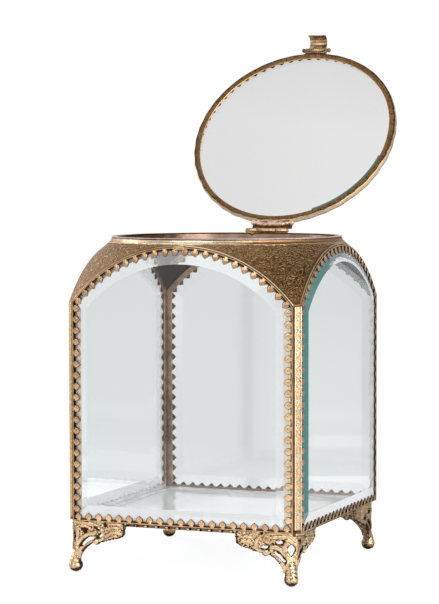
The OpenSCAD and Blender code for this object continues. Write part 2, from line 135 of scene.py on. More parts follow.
class Nodes:
    # short calls for building the nodes of a material or of the world
    sockets = {
        "color": "Base Color",
        "metal": "Metallic",
        "rough": "Roughness",
        "normal": "Normal",
        "ior": "IOR",
        "transmission": "Transmission Weight",
        "specular": "Specular IOR Level",
    }

    def __init__(self, owner):
        owner.use_nodes = True
        self.owner, self.tree = owner, owner.node_tree
        self.shader = self.tree.nodes.get("Principled BSDF")
        self.output = self.tree.nodes.get("Material Output") or self.tree.nodes["World Output"]
        self.coords = self.add("TexCoord").outputs["Object" if self.shader else "Generated"]

    def add(self, kind, inputs=None, **settings):
        return addNode(self.tree, "ShaderNode" + kind, inputs, **settings)

    def math(self, kind, a, b=0.0):
        return self.add("Math", {0: a, 1: b}, operation=kind).outputs[0]

    def plus(self, a, b):
        return self.math("ADD", a, b)

    def times(self, a, b):
        return self.math("MULTIPLY", a, b)

    def mapped(self, value, low, high, first=0.0, last=1.0, kind="LINEAR"):
        # low to high becomes first to last
        inputs = {"Value": value, "From Min": low, "From Max": high, "To Min": first, "To Max": last}
        return self.add("MapRange", inputs, interpolation_type=kind).outputs[0]

    def towards(self, x, y, z=0.0):  # how far the shaded point lies in a direction
        inputs = {0: self.coords, 1: (x, y, z)}
        return self.add("VectorMath", inputs, operation="DOT_PRODUCT").outputs["Value"]

    def noise(self, scale, detail=3, rough=0.55, coords=None):
        inputs = {"Vector": coords or self.coords, "Scale": scale, "Detail": detail, "Roughness": rough}
        return self.add("TexNoise", inputs).outputs["Fac"]

    def ramp(self, value, stops):
        node = self.add("ValToRGB", {"Fac": value})
        while len(node.color_ramp.elements) < len(stops):
            node.color_ramp.elements.new(0.5)
        for element, (at, shade) in zip(node.color_ramp.elements, stops):
            element.position = at
            element.color = (*shade, 1) if isinstance(shade, tuple) else (shade, shade, shade, 1)
        return node.outputs["Color"]

    def mix(self, amount, first, second):
        inputs = {0: amount, 6: opaque(first), 7: opaque(second)}
        return self.add("Mix", inputs, data_type="RGBA").outputs[2]

    def attribute(self, name):
        return self.add("Attribute", attribute_name=name).outputs["Fac"]

    def bump(self, height, distance, under=None):
        inputs = {"Height": height, "Distance": distance}
        if under is not None:
            inputs["Normal"] = under
        return self.add("Bump", inputs).outputs["Normal"]

    def glow(self, strength, color=(1, 1, 1)):  # light of a surface's own, or the world's
        kind = "Emission" if self.shader else "Background"
        return self.add(kind, {"Color": opaque(color), "Strength": strength}).outputs[0]

    def blend(self, amount, first, second):
        return self.add("MixShader", {0: amount, 1: first, 2: second}).outputs[0]

    def show(self, look):
        self.tree.links.new(look, self.output.inputs["Surface"])

    def showByRay(self, plain, gloss, through, camera):  # what each kind of ray meets
        paths = self.add("LightPath").outputs
        look = self.blend(paths["Is Glossy Ray"], plain, gloss)
        look = self.blend(paths["Is Transmission Ray"], look, through)
        self.show(self.blend(paths["Is Camera Ray"], look, camera))

    def finish(self, **inputs):
        for key, value in inputs.items():
            socket = self.shader.inputs[self.sockets[key]]
            if isinstance(value, bpy.types.NodeSocket):
                self.tree.links.new(value, socket)
            else:
                socket.default_value = (*value, 1) if isinstance(value, tuple) else value
        return self.owner


def brass(name, light, dark, patina, wear=0.5, rough=(0.28, 0.5), grain=0.00004, grainScale=2600, metal=1.0):
    # worn gilt brass: two golds in clouds, brown patina in blotches, a fine hammered grain
    n = Nodes(bpy.data.materials.new(name))
    clouds = n.ramp(n.noise(90, 4, 0.6), [(0.35, 0), (0.65, 1)])
    blotches = n.ramp(n.noise(420, 5, 0.65), [(wear - 0.1, 0), (wear + 0.16, 1)])
    color = n.mix(n.times(blotches, 0.75), n.mix(clouds, dark, light), patina)
    roughness = n.mapped(n.noise(900, 3), 0, 1, *rough)
    return n.finish(color=color, metal=metal, rough=roughness, normal=n.bump(n.noise(grainScale, 3), grain))


def castBrass(name, light, dark, recess, rough=(0.3, 0.5), grain=0.00005, speckle=0.9, speckScale=1500.0,
              metal=1.0, hammer=0.0):
    # cast or stamped brass: the mesh's own attribute holds its dark, patina in its hollows and painted shade
    # where parts turn away, face down or lie in gaps
    n = Nodes(bpy.data.materials.new(name))
    clouds = n.ramp(n.noise(140, 4, 0.6), [(0.35, 0), (0.65, 1)])
    specks = n.times(n.math("SUBTRACT", n.noise(speckScale, 3, 0.7), 0.5), speckle)
    amount = n.plus(n.attribute("recess"), specks)
    color = n.mix(n.ramp(amount, [(0.3, 0), (0.75, 1)]), n.mix(clouds, dark, light), recess)
    normal = n.bump(n.noise(1900, 4, 0.6), grain)
    if hammer:
        normal = n.bump(n.noise(620, 3, 0.6), hammer, normal)
    return n.finish(color=color, metal=metal, rough=n.mapped(amount, 0, 1, *rough), normal=normal)


# Each finish has a light and a dark gold, the brown of its patina and its hollows, which the cast finishes
# also lay as painted shade, and what else it changes.
sheetFinishes = {
    # painted reflection: grey on the back arch's flange and teeth, where they reflect light from the right
    "grey": ("greySolder", (0.46, 0.45, 0.46), (0.36, 0.35, 0.36), (0.26, 0.25, 0.26),
             {"wear": 0.6, "metal": 0.5}),
    "orange": ("orangeFlange", (1.0, 0.70, 0.36), (0.92, 0.58, 0.28), (0.50, 0.30, 0.13),
               {"wear": 0.6, "metal": 0.35}),
    "rim": ("giltRim", (0.96, 0.72, 0.46), (0.66, 0.42, 0.22), (0.24, 0.13, 0.06), {"wear": 0.56}),
    "channel": ("brownChannel", (0.36, 0.21, 0.11), (0.20, 0.11, 0.055), (0.07, 0.035, 0.018), {}),
    "flangeBack": ("giltFlange", (0.95, 0.72, 0.45), (0.80, 0.55, 0.30), (0.42, 0.26, 0.13), {"wear": 0.62}),
    # painted highlight: pale cream on the right stile's flange, the right wall's low flange, the canopy's
    # bright wire and the base's glints
    "cream": ("creamFlange", (1.0, 0.85, 0.64), (1.0, 0.80, 0.58), (0.86, 0.62, 0.40),
              {"wear": 0.68, "rough": (0.3, 0.45), "metal": 0.45}),
    # painted reflection: pale lilac-white on the inside flanges and teeth, where they show a grazing
    # reflection
    "tin": ("tinSolder", (0.93, 0.92, 0.97), (0.80, 0.79, 0.84), (0.55, 0.53, 0.57),
            {"wear": 0.62, "rough": (0.22, 0.4), "metal": 0.35}),
    "fold": ("brownFold", (0.54, 0.35, 0.23), (0.34, 0.20, 0.12), (0.10, 0.055, 0.03), {}),
    "valley": ("brownValley", (0.40, 0.25, 0.14), (0.16, 0.09, 0.045), (0.05, 0.028, 0.015), {"wear": 0.48}),
    # painted shade: the canopy's underside, inside the casket, is near black
    "under": ("canopyUnderside", (0.045, 0.024, 0.014), (0.024, 0.013, 0.008), (0.012, 0.007, 0.004),
              {"rough": (0.4, 0.6)}),
    # painted shadow: near black where gaps between the teeth's necks, the channels and the rings lie in shade
    "slot": ("darkSlot", (0.03, 0.022, 0.017), (0.016, 0.012, 0.01), (0.006, 0.005, 0.004),
             {"rough": (0.5, 0.8)}),
    # painted highlight: pale silvery pink on the collar's top and the latch pin, where they catch the light
    "silvered": ("silveredRim", (0.78, 0.72, 0.70), (0.60, 0.52, 0.48), (0.34, 0.24, 0.17),
                 {"wear": 0.6, "metal": 0.75}),
    "innerEdge": ("orangeEdge", (0.90, 0.52, 0.22), (0.66, 0.36, 0.14), (0.30, 0.15, 0.06),
                  {"wear": 0.6, "metal": 0.8}),
    "fitting": ("fittingBrass", (0.76, 0.50, 0.29), (0.46, 0.28, 0.14), (0.10, 0.05, 0.024),
                {"wear": 0.54, "rough": (0.2, 0.4), "grain": 0.00002}),
    "hingeKnuckle": ("hingeKnuckle", (0.88, 0.66, 0.43), (0.58, 0.38, 0.21), (0.14, 0.07, 0.03),
                     {"wear": 0.56, "rough": (0.16, 0.32), "grain": 0.00002}),
    "hook": ("hookBrass", (0.80, 0.58, 0.38), (0.42, 0.26, 0.14), (0.10, 0.05, 0.024),
             {"wear": 0.54, "rough": (0.18, 0.32), "grain": 0.00001}),
    "solder": ("solderBrass", (1.0, 0.82, 0.64), (0.74, 0.50, 0.33), (0.26, 0.14, 0.07),
               {"wear": 0.62, "rough": (0.16, 0.34), "grain": 0.0001, "grainScale": 1400, "metal": 0.65}),
}
castFinishes = {
    "gilt": ("giltTeeth", (0.82, 0.54, 0.32), (0.56, 0.35, 0.19), (0.045, 0.022, 0.01),
             {"rough": (0.26, 0.45)}),
    # painted shade: the right wall's low teeth are darker
    "dull": ("dullTeeth", (0.50, 0.33, 0.20), (0.30, 0.18, 0.10), (0.03, 0.016, 0.008), {}),
    # painted highlight: the teeth on the front's right stile are paler
    "worn": ("wornTeeth", (1.0, 0.74, 0.48), (0.78, 0.54, 0.32), (0.06, 0.03, 0.014),
             {"rough": (0.26, 0.45)}),
    "dim": ("dimBand", (0.52, 0.38, 0.24), (0.26, 0.17, 0.10), (0.03, 0.018, 0.01),
            {"speckle": 1.6, "speckScale": 500.0}),
    "golden": ("goldenBand", (1.0, 0.74, 0.43), (0.88, 0.60, 0.32), (0.22, 0.11, 0.045),
               {"rough": (0.24, 0.4), "metal": 0.7}),
    "band": ("stampedBand", (0.84, 0.71, 0.53), (0.73, 0.58, 0.40), (0.32, 0.185, 0.085),
             {"rough": (0.26, 0.42)}),
    "collar": ("collarBand", (1.0, 0.86, 0.64), (0.92, 0.70, 0.44), (0.34, 0.19, 0.085),
               {"rough": (0.2, 0.4), "speckle": 0.7, "speckScale": 900.0, "metal": 0.8}),
    "bead": ("lidBead", (1.0, 0.81, 0.57), (0.88, 0.61, 0.36), (0.16, 0.08, 0.03),
             {"rough": (0.2, 0.4), "speckle": 1.1, "speckScale": 800.0, "metal": 0.5}),
    "inside": ("copperInside", (0.54, 0.37, 0.28), (0.36, 0.20, 0.13), (0.10, 0.05, 0.03),
               {"speckle": 0.7, "speckScale": 400.0}),
    "cast": ("castFoot", (0.92, 0.68, 0.43), (0.62, 0.40, 0.21), (0.05, 0.022, 0.009),
             {"rough": (0.18, 0.46), "speckle": 1.6, "speckScale": 2100.0, "hammer": 0.00018}),
    "flange": ("stippledFlange", (0.33, 0.195, 0.09), (0.23, 0.13, 0.056), (0.07, 0.035, 0.014),
               {"grain": 0.00008, "speckle": 3.2, "speckScale": 1300.0}),
}
finishes = {key: brass(*colors, **more) for key, (*colors, more) in sheetFinishes.items()}
finishes.update({key: castBrass(*colors, **more) for key, (*colors, more) in castFinishes.items()})

plate = {
    "color": (0.99, 0.995, 0.995),
    "thickness": (0.35, 0.78, 0.72),  # green of a thick edge
    "density": 9.0,
    "short": 0.012,  # longest way that caught light has gone inside a bevel, in metres
    "bounces": 2.5,
    "green": ((0.035, 0.15, 0.135), (0.075, 0.26, 0.235)),
    "film": (0.97, 0.975, 0.995),
}


def plateGlass():
    n = Nodes(bpy.data.materials.new("plateGlass"))
    tint = n.add("VolumeAbsorption", {"Color": (*plate["thickness"], 1), "Density": plate["density"]})
    n.tree.links.new(tint.outputs[0], n.output.inputs["Volume"])
    # painted glow: the glass glows green where a ray has bounced in a bevel and where the gleam mark lies, for
    # light caught in the bevel's thickness that runs along the pane
    paths = n.add("LightPath").outputs
    short = n.math("LESS_THAN", paths["Ray Length"], plate["short"])
    behind = n.times(n.add("NewGeometry").outputs["Backfacing"], short)
    caught = n.times(n.math("GREATER_THAN", paths["Glossy Depth"], plate["bounces"]), behind)
    caught = n.math("MAXIMUM", caught, n.attribute("gleam"))
    stretched = n.add("Mapping", {"Vector": n.coords, "Scale": (1.0, 1.0, 0.25)}).outputs[0]
    green = n.ramp(n.noise(60, 2, coords=stretched), list(zip((0.3, 0.7), plate["green"])))
    n.finish(color=plate["color"], rough=0.0, ior=1.5, transmission=1.0)
    film = n.add("BsdfDiffuse", {"Color": (*plate["film"], 1)}).outputs[0]
    seen = n.blend(caught, n.shader.outputs[0], n.glow(1.0, green))
    n.show(n.blend(n.attribute("film"), seen, film))
    return n.owner


copper = {
    "ground": ((0.083, 0.034, 0.010), (0.162, 0.075, 0.027)),
    "stipple": (0.305, 0.162, 0.068),
    "scroll": (0.66, 0.41, 0.18),
    "border": (0.28, 0.155, 0.065),
    "paintedSheen": (0.60, 0.38, 0.19),
    "warp": 0.0032,
    "curls": 9.0,
    "height": 0.00016,
}


def embossedCopper():
    # patinated sheet with a fine running scroll: contour lines of a warped noise make the curls
    n, c = Nodes(bpy.data.materials.new("embossedCopper")), copper
    cloudy = n.add("TexNoise", {"Vector": n.coords, "Scale": 210.0, "Detail": 2.0}).outputs["Color"]
    shift = n.add("VectorMath", {0: cloudy, 3: c["warp"]}, operation="SCALE").outputs[0]
    warped = n.add("VectorMath", {0: n.coords, 1: shift}, operation="ADD").outputs[0]
    contour = n.math("FRACT", n.times(n.noise(330, 1, 0.4, warped), c["curls"]))
    line = n.ramp(n.math("ABSOLUTE", n.math("SUBTRACT", contour, 0.5)), [(0.09, 1), (0.25, 0)])
    border = n.attribute("recess")  # 1 along the plain borders
    line = n.times(line, n.math("SUBTRACT", 1.0, border))
    stipple = n.noise(1700, 4, 0.7)
    ground = n.mix(n.ramp(n.noise(45, 3), [(0.4, 0), (0.62, 1)]), *c["ground"])
    ground = n.mix(n.ramp(stipple, [(0.44, 0), (0.64, 1)]), ground, c["stipple"])
    color = n.mix(n.times(line, 0.7), ground, c["scroll"])
    color = n.mix(n.times(border, 0.6), color, c["border"])
    # painted sheen: near the collar, towards the right, the tops of the stipple are lighter
    paintedSheen = n.times(n.attribute("wear"), n.ramp(stipple, [(0.4, 0.15), (0.6, 1)]))
    color = n.mix(paintedSheen, color, c["paintedSheen"])
    normal = n.bump(n.plus(line, n.times(stipple, 0.7)), c["height"])
    return n.finish(color=color, metal=1.0, rough=n.mapped(stipple, 0, 1, 0.34, 0.52), normal=normal)


finishes["glass"] = plateGlass()
finishes["copper"] = embossedCopper()
print("materials made")


# Every shape is worked out in millimetres in the casket's own frame.
def evaluated(piece):  # the piece's mesh with its modifiers applied
    bpy.context.view_layer.update()
    return bpy.data.meshes.new_from_object(piece.evaluated_get(bpy.context.evaluated_depsgraph_get()))


def newMesh(name, points, faces, edges=()):
    mesh = bpy.data.meshes.new(name)
    mesh.from_pydata([Vector(p) * mm for p in points], edges, faces)
    return mesh


def setValues(mesh, name, domain, values):
    mesh.attributes.new(name, "FLOAT", domain).data.foreach_set("value", values)


def closeUp(mesh, weld=0.0, outward=True):  # merges doubles and turns the faces outward
    work = bmesh.new()
    work.from_mesh(mesh)
    if weld:
        bmesh.ops.remove_doubles(work, verts=work.verts, dist=weld * mm)
    if outward:
        bmesh.ops.recalc_face_normals(work, faces=work.faces)
    work.to_mesh(mesh)
    work.free()


def dress(piece, body, replaced=()):
    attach(piece, body)
    if replaced:
        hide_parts(*replaced)
    return piece


def partName(node):  # front_left_post becomes frontLeftPost
    first, *rest = node.split("_")
    return first + "".join(word.title() for word in rest)


class Shape:
    # points with a darkening each, for patina and painted shade, and faces with a finish each, gathered before
    # one mesh is made
    def __init__(self):
        self.points, self.faces, self.finish, self.recess = [], [], [], []

    def add(self, points, faces, finish, recess=None):
        start = len(self.points)
        self.points += [tuple(p) for p in points]
        self.recess += list(recess) if recess is not None else [0.0] * len(points)
        self.faces += [tuple(start + i for i in f) for f in faces]
        self.finish += [finish] * len(faces) if isinstance(finish, str) else list(finish)
        return self

    def object(self, name, body, slot, replaced=(), sharp=35, weld=0.002, outward=True):
        names = sorted(set(self.finish))
        mesh = newMesh(name, self.points, self.faces)
        for n in names:
            mesh.materials.append(finishes[n])
        mesh.polygons.foreach_set("material_index", [names.index(f) for f in self.finish])
        if any(self.recess):
            setValues(mesh, "recess", "POINT", self.recess)
        closeUp(mesh, weld, outward)
        mesh.shade_smooth()
        mesh.set_sharp_from_angle(angle=math.radians(sharp))
        return dress(linked(name, mesh), body, replaced)


def spin(v, angle):  # turns points about the upright axis
    v = np.asarray(v, float)
    c, s = math.cos(angle), math.sin(angle)
    return np.stack([v[:, 0] * c - v[:, 1] * s, v[:, 0] * s + v[:, 1] * c, v[:, 2]], 1)


def wallPlace(turn):  # takes (along, up, out) to the wall turned by that many degrees from the front
    def place(v):
        v = np.asarray(v, float)
        return spin(np.stack([v[:, 0], -inner - v[:, 2], v[:, 1]], 1), math.radians(turn))
    return place


def floorPlace(v):
    v = np.asarray(v, float)
    return np.stack([v[:, 0], -v[:, 1], baseTop - v[:, 2]], 1)


def openLid(v):  # takes the closed lid's points to the open lid
    v = np.asarray(v, float)
    y, z = v[:, 1] - hinge[1], v[:, 2] - hinge[2]
    c, s = math.cos(lidTurn), math.sin(lidTurn)
    return np.stack([v[:, 0], hinge[1] + y * c + z * s, hinge[2] - y * s + z * c], 1)


def lidPlace(v):
    v = np.asarray(v, float)
    return openLid(np.stack([v[:, 0], v[:, 1], lidZ + v[:, 2]], 1))


def outwardOf(place, up=(0, 0, 1)):  # where a place turns a direction to
    return place([up])[0] - place([(0, 0, 0)])[0]


def sweep(path, profile, closed=True):
    # runs a profile of (inset, out) points along a flat path, given as a function of its inset
    rings = [path(p[0]) for p in profile]
    n, m = len(rings[0]), len(profile)
    points = [(*rings[j][i], profile[j][1]) for i in range(n) for j in range(m)]
    faces = [(i * m + j, (i + 1) % n * m + j, (i + 1) % n * m + (j + 1) % m, i * m + (j + 1) % m)
             for i in range(n) for j in range(m if closed else m - 1)]
    return points, faces


def archPath(inset=0.0, steps=96):  # outline of a side wall, counterclockwise from its lower left corner
    half, r = inner - inset, archR - inset
    low = foldZ + inset
    start = math.acos(half / r)
    arc = [(r * math.cos(a), archZ + r * math.sin(a)) for a in np.linspace(start, math.pi - start, steps)]
    return [(-half, low), (half, low)] + arc


def squarePath(inset=0.0):
    e = inner - inset
    return [(-e, -e), (e, -e), (e, e), (-e, e)]


def circle(radius, steps):
    angles = [2 * math.pi * i / steps for i in range(steps)]
    return [(radius * math.cos(a), radius * math.sin(a)) for a in angles]


def lidPath(inset=0.0, steps=192):
    return circle(lidR - inset, steps)


# A Geometry Nodes tree sets a tooth at each step of an edge.
tooth = {
    "pitch": 4.08,
    "halfNeck": 0.68,
    "halfHead": 1.29,
    "reach": 3.05,  # from the fold to the tip
    "lift": 0.3,  # rise from the fold to the tip, lying on the bevel
    "thick": 0.42,
    "crown": 0.41,  # height of its middle
    "jitter": 0.03,
    "seed": 7,
    "end": 2.15,  # room left at the end of a row
    "step": 4.45,  # and where another row comes first
}


def patternObject(name, points, faces, recess):  # stands in the scene while the tree copies it
    mesh = newMesh(name, points, faces)
    setValues(mesh, "recess", "POINT", recess)
    closeUp(mesh)
    return linked(name, mesh)


def toothMesh(name, shorter=1.0):
    t = tooth
    neck, head, tip = t["halfNeck"], t["halfHead"], t["reach"]
    half = [(neck + 0.2, 0.2), (neck, 0.66), (neck + 0.06, 0.86), (head - 0.04, 0.9), (head, 1.04),
            (head, 1.95), (0.76, 2.48), (0.14, tip - 0.04), (0, tip)]
    outline = half + [(-x, y) for x, y in reversed(half[:-1])]
    n = len(outline)
    points = [(x, y, t["lift"] * y / tip - t["thick"]) for x, y in outline]
    points += [(x, y, t["lift"] * y / tip - 0.06) for x, y in outline]
    for x, y in outline:  # the head is a little raised and drawn in
        raised = y > 0.9
        points.append((x * 0.78, 1.75 + (y - 1.75) * 0.8 if raised else y,
                       t["lift"] * y / tip + 0.08 * raised))
    points.append((0, 1.6, t["crown"]))
    # painted shadow: the tooth's sides and underside are dark, the rim of its head a little, its crown not
    recess = [1.0] * n + [1.0] * n + [0.24] * n + [0.0]
    faces = [(k * n + i, k * n + (i + 1) % n, (k + 1) * n + (i + 1) % n, (k + 1) * n + i)
             for k in (0, 1) for i in range(n)]
    faces += [(2 * n + i, 2 * n + (i + 1) % n, 3 * n) for i in range(n)] + [tuple(range(n))]
    return patternObject(name, [(x, y * shorter, z) for x, y, z in points], faces, recess)


def stepTree():  # sets copies of a pattern object at even steps along the edges of a mesh of lines
    tree = bpy.data.node_groups.new("stepAlongEdge", "GeometryNodeTree")
    sockets = {}
    kinds = {"Edge": "Geometry", "Pattern": "Object", "Pitch": "Float", "Outward": "Vector", "Jitter": "Float",
             "Seed": "Int", "Finish": "Material"}
    for label, kind in kinds.items():
        made = tree.interface.new_socket(label, in_out="INPUT", socket_type="NodeSocket" + kind)
        sockets[label] = made.identifier
    tree.interface.new_socket("Result", in_out="OUTPUT", socket_type="NodeSocketGeometry")

    def add(kind, inputs=None, **settings):
        return addNode(tree, kind, inputs, **settings).outputs

    def sums(kind, *values):
        return add("ShaderNodeMath", dict(enumerate(values)), operation=kind)[0]

    given = add("NodeGroupInput")
    curve = add("GeometryNodeMeshToCurve", {"Mesh": given["Edge"]})["Curve"]
    length = add("GeometryNodeSplineLength")["Length"]
    count = sums("ADD", sums("ROUND", sums("DIVIDE", length, given["Pitch"])), 1)
    steps = add("GeometryNodeResampleCurve", {"Curve": curve, "Count": count})["Curve"]
    axes = {"Primary Axis": given["Outward"], "Secondary Axis": add("GeometryNodeInputTangent")[0]}
    turn = add("FunctionNodeAxesToRotation", axes, primary_axis="Z", secondary_axis="X")[0]
    low, high = (add("ShaderNodeCombineXYZ", dict.fromkeys("XYZ", limit))[0]
                 for limit in (sums("MULTIPLY", given["Jitter"], -1), given["Jitter"]))
    limits = {"Min": low, "Max": high, "Seed": given["Seed"]}
    chance = add("FunctionNodeRandomValue", limits, data_type="FLOAT_VECTOR")["Value"]
    turns = {"Rotation": turn, "Rotate By": add("FunctionNodeEulerToRotation", {0: chance})[0]}
    turn = add("FunctionNodeRotateRotation", turns, rotation_space="LOCAL")[0]
    copied = add("GeometryNodeObjectInfo", {"Object": given["Pattern"]})["Geometry"]
    copies = add("GeometryNodeInstanceOnPoints", {"Points": steps, "Instance": copied, "Rotation": turn})[0]
    real = add("GeometryNodeRealizeInstances", {0: copies})[0]
    painted = add("GeometryNodeSetMaterial", {"Geometry": real, "Material": given["Finish"]})[0]
    add("NodeGroupOutput", {0: painted})
    return tree, sockets


stepper, stepperSockets = stepTree()


def alongEdges(lines, copied, outward, finish, pitch, jitter=0.0, seed=1):
    # runs the tree on lines in millimetres; gives points, faces, finish and darkening, for patina and painted
    # shade, for Shape.add
    points, edges = [], []
    for line in lines:
        edges += [(len(points) + i, len(points) + i + 1) for i in range(len(line) - 1)]
        points += list(line)
    carrier = linked("edgeLines", newMesh("edgeLines", points, [], edges))
    modifier = carrier.modifiers.new("teeth", "NODES")
    modifier.node_group = stepper
    given = {"Pattern": copied, "Pitch": pitch * mm, "Outward": tuple(float(v) for v in outward),
             "Jitter": jitter, "Seed": seed, "Finish": finishes[finish]}
    for label, value in given.items():
        modifier[stepperSockets[label]] = value
    made = evaluated(carrier)
    points = [v.co / mm for v in made.vertices]
    faces = [tuple(p.vertices) for p in made.polygons]
    recess = np.zeros(len(points))
    made.attributes["recess"].data.foreach_get("value", recess)
    bpy.data.objects.remove(carrier)
    bpy.data.meshes.remove(made)
    return points, faces, finish, recess


# Each pane lies in a channel folded from sheet brass.
channel = {
    "depth": 2.5,
    "sheet": 0.45,
    "inside": 2.1,  # plain flange on the pane's inner face, from the fold
    "rim": 0.28,  # rounded bright edge of the fold
    "slot": (0.58, 0.86, 1.25),  # the gap between the teeth's necks, near black for painted shadow
    "sunk": 0.12,  # how far a tooth's foot lies in the fold
    "stiles": ((1, 4.0, "cream"), (-1, 3.05, "orange")),  # side, width and finish of the front's wide flanges; the right one's pale cream is a painted highlight
}
lip = {"pitch": 4.05, "up": 1.9, "ends": 3.2}  # near-black bars of painted shadow in the folded gaps, with painted glints, along the base's front side
boxFaces = [(0, 1, 2, 3), (4, 5, 6, 7), (0, 1, 5, 4), (1, 2, 6, 5), (2, 3, 7, 6), (3, 0, 4, 7)]


def channelProfile():  # points as (inset, out) and the finish between each and the next
    s, rim, depth, inside = (channel[k] for k in ("sheet", "rim", "depth", "inside"))
    near, far, end = channel["slot"]
    top = depth - s
    points = [(0, 0.15), (0.12, 0), (1.15, 0), (inside - 0.1, 0), (inside, 0.12), (inside, s), (s, s),
              (s, top), (end, top), (end, depth - 0.3), (far, depth - 0.24), (far - 0.04, depth - 0.36),
              (near, depth - 0.34), (near - 0.08, depth - 0.16), (rim + 0.06, depth - 0.16),
              (rim, depth - 0.02), (rim / 2, depth), (0.04, depth - 0.05), (0, depth - 0.16)]
    # the slot faces are near-black painted shadow
    kinds = ["fold"] * 5 + ["flangeBack"] * 2 + ["slot", "slot", "valley"] + ["slot"] * 3 + ["channel"] * 2
    return points, kinds + ["rim"] * 3 + ["channel"]


def makeFrame(node, place, path, rows, edges):
    # edges gives other finishes for some parts of the profile along some of the outline's edges
    depth = channel["depth"]
    outward = outwardOf(place)
    profile, kinds = channelProfile()
    finish = []
    for i in range(len(path())):
        changed = edges.get(i, {})
        finish += [changed.get(j, kind) for j, kind in enumerate(kinds)]
    points, faces = sweep(path, profile)
    shape = Shape().add(place(points), faces, finish)
    if node == "front_frame":  # its flange is cut wide along the stiles
        for side, wide, kind in channel["stiles"]:
            x0, x1, z0, z1 = side * (inner - wide), side * (inner - 1.6), foldZ + 1.8, springZ - 0.4
            ends = ((x0, z0 + 0.4), (x1, z0), (x1, z1), (x0, z1 - 2.2))
            shape.add(place([(x, z, out) for out in (0.05, 0.43) for x, z in ends]), boxFaces, kind)
    kindOf = rowFinish.get(node.split("_")[0], {})
    for kind in ("tin", "grey", "dull", "worn", "gilt"):
        some = [place([(x, z, depth - channel["sunk"]) for x, z in row])
                for i, row in enumerate(rows) if kindOf.get(i, "gilt") == kind]
        if some:
            shape.add(*alongEdges(some, pattern["tooth"], outward, kind, tooth["pitch"], tooth["jitter"],
                                  tooth["seed"]))
    if node == "base_frame":  # near-black bars lay painted shadow where the gaps between its folded teeth show along its front side, with painted glints
        end = inner - lip["ends"]
        row = place([(x, inner + 0.02, lip["up"]) for x in (-end, end)])
        shape.add(*alongEdges([row], pattern["gap"], (0, -1, 0), "slot", lip["pitch"], 0.04, 2))
        shape.add(*alongEdges([row], pattern["glint"], (0, -1, 0), "cream", lip["pitch"], 0.2, 5))
    return shape.object(partName(node), "case", "frame_brass", [node], sharp=9)


def wallRows():  # the toothed edges of a side wall, its arch in two halves, trimmed at their ends
    end, step = tooth["end"], tooth["step"]
    spring, cut = math.acos(inner / archR), end / archR
    gap = tooth["pitch"] / archR / 2
    spans = [(spring + cut, math.pi / 2 - gap), (math.pi / 2 + gap, math.pi - spring - cut)]
    arches = [[(archR * math.cos(a), archZ + archR * math.sin(a)) for a in np.linspace(*span, 32)]
              for span in spans]
    return [[(-inner + end, foldZ), (inner - end, foldZ)], [(inner, foldZ + step), (inner, springZ - end)],
            *arches, [(-inner, springZ - end), (-inner, foldZ + step)]]


def baseRows():
    rows = []
    for k, (x, y) in enumerate(squarePath()):
        along = np.array([(1, 0), (0, 1), (-1, 0), (0, -1)][k], float)
        end = tooth["step" if k % 2 else "end"]
        start = np.array((x, y), float)
        rows.append([tuple(start + along * end), tuple(start + along * (2 * inner - end))])
    return rows


def barMesh(name, length, height, deep, shift=0.0):  # small bar along an edge, deep being its rise from it
    x, y = length / 2, height / 2
    outline = ((-1, -0.6), (0.8, -1), (1, 0.7), (-0.7, 1))
    points = [(a * x + shift, b * y, c) for c in (-0.2, deep) for a, b in outline]
    return patternObject(name, points, boxFaces, [1.0] * len(points))


pattern = {
    "tooth": toothMesh("toothPattern"),
    "lidTooth": toothMesh("lidToothPattern", 0.66),
    "gap": barMesh("gapPattern", 2.2, 1.15, 0.05),
    "glint": barMesh("glintPattern", 1.0, 0.5, 0.1, -0.3),
}
innerFlange = (1, 2, 3, 4)  # parts of the profile; 9 to 12 lie between the teeth
lastEdge = len(archPath()) - 1
# painted light on the frames' profiles: pale flanges inside for a grazing reflection, grey ones on the back
# arch for reflected light, cream ones on the right for a painted highlight, near-black slots for painted
# shadow
edgeFinish = {
    "front": {0: {9: "fold"}, 1: {9: "cream", 10: "cream", 11: "valley"}, lastEdge: {9: "slot"}},
    "left": {0: dict.fromkeys(innerFlange, "tin")},
    "back": {0: {1: "tin"}, lastEdge: dict.fromkeys(innerFlange, "tin"),
             **{i: dict.fromkeys(innerFlange, "grey") for i in range(len(archPath()) // 2 + 1, lastEdge)}},
    "right": {0: dict.fromkeys(innerFlange, "cream")},
    "base": {i: dict.fromkeys(innerFlange, "tin") for i in range(4)},
}
rowFinish = {  # teeth that aren't gilt: paler on the right stile for a painted highlight, pale inside for a painted reflection, grey on the back arch for a painted reflection, darker low on the right for painted shade
    "front": {1: "worn"},
    "left": {0: "tin"},
    "back": {3: "grey", 4: "tin"},
    "right": {0: "dull"},
    "base": dict.fromkeys(range(4), "tin"),
}
for side, turn in walls.items():
    makeFrame(side + "_frame", wallPlace(turn), archPath, wallRows(), edgeFinish[side])
makeFrame("base_frame", floorPlace, squarePath, baseRows(), edgeFinish["base"])
print("side and base frames made")

pane = {
    "edge": 1.6,
    "full": 2.46,
    "fit": 0.55,
    "lift": 0.03,  # clear of the flange
    "bevelStart": 1.15,
    "bevelEnd": 6.0,
    # share of light that a film of fine scratches scatters, on the bevel and on the flat
    "film": {"front": (0.2, 0), "right": (0.02, 0), "back": (0.04, 0), "left": (0.3, 0), "base": (0.6, 0.5)},
    "lowFilm": {"front": 0.7, "right": 0.55},  # and on the bevel along the foot
}


def paneShape(path, profile):
    n, m = len(path()), len(profile)
    points, faces = sweep(path, profile, closed=False)
    return points, faces + [tuple(i * m for i in range(n)), tuple(i * m + m - 1 for i in range(n))]


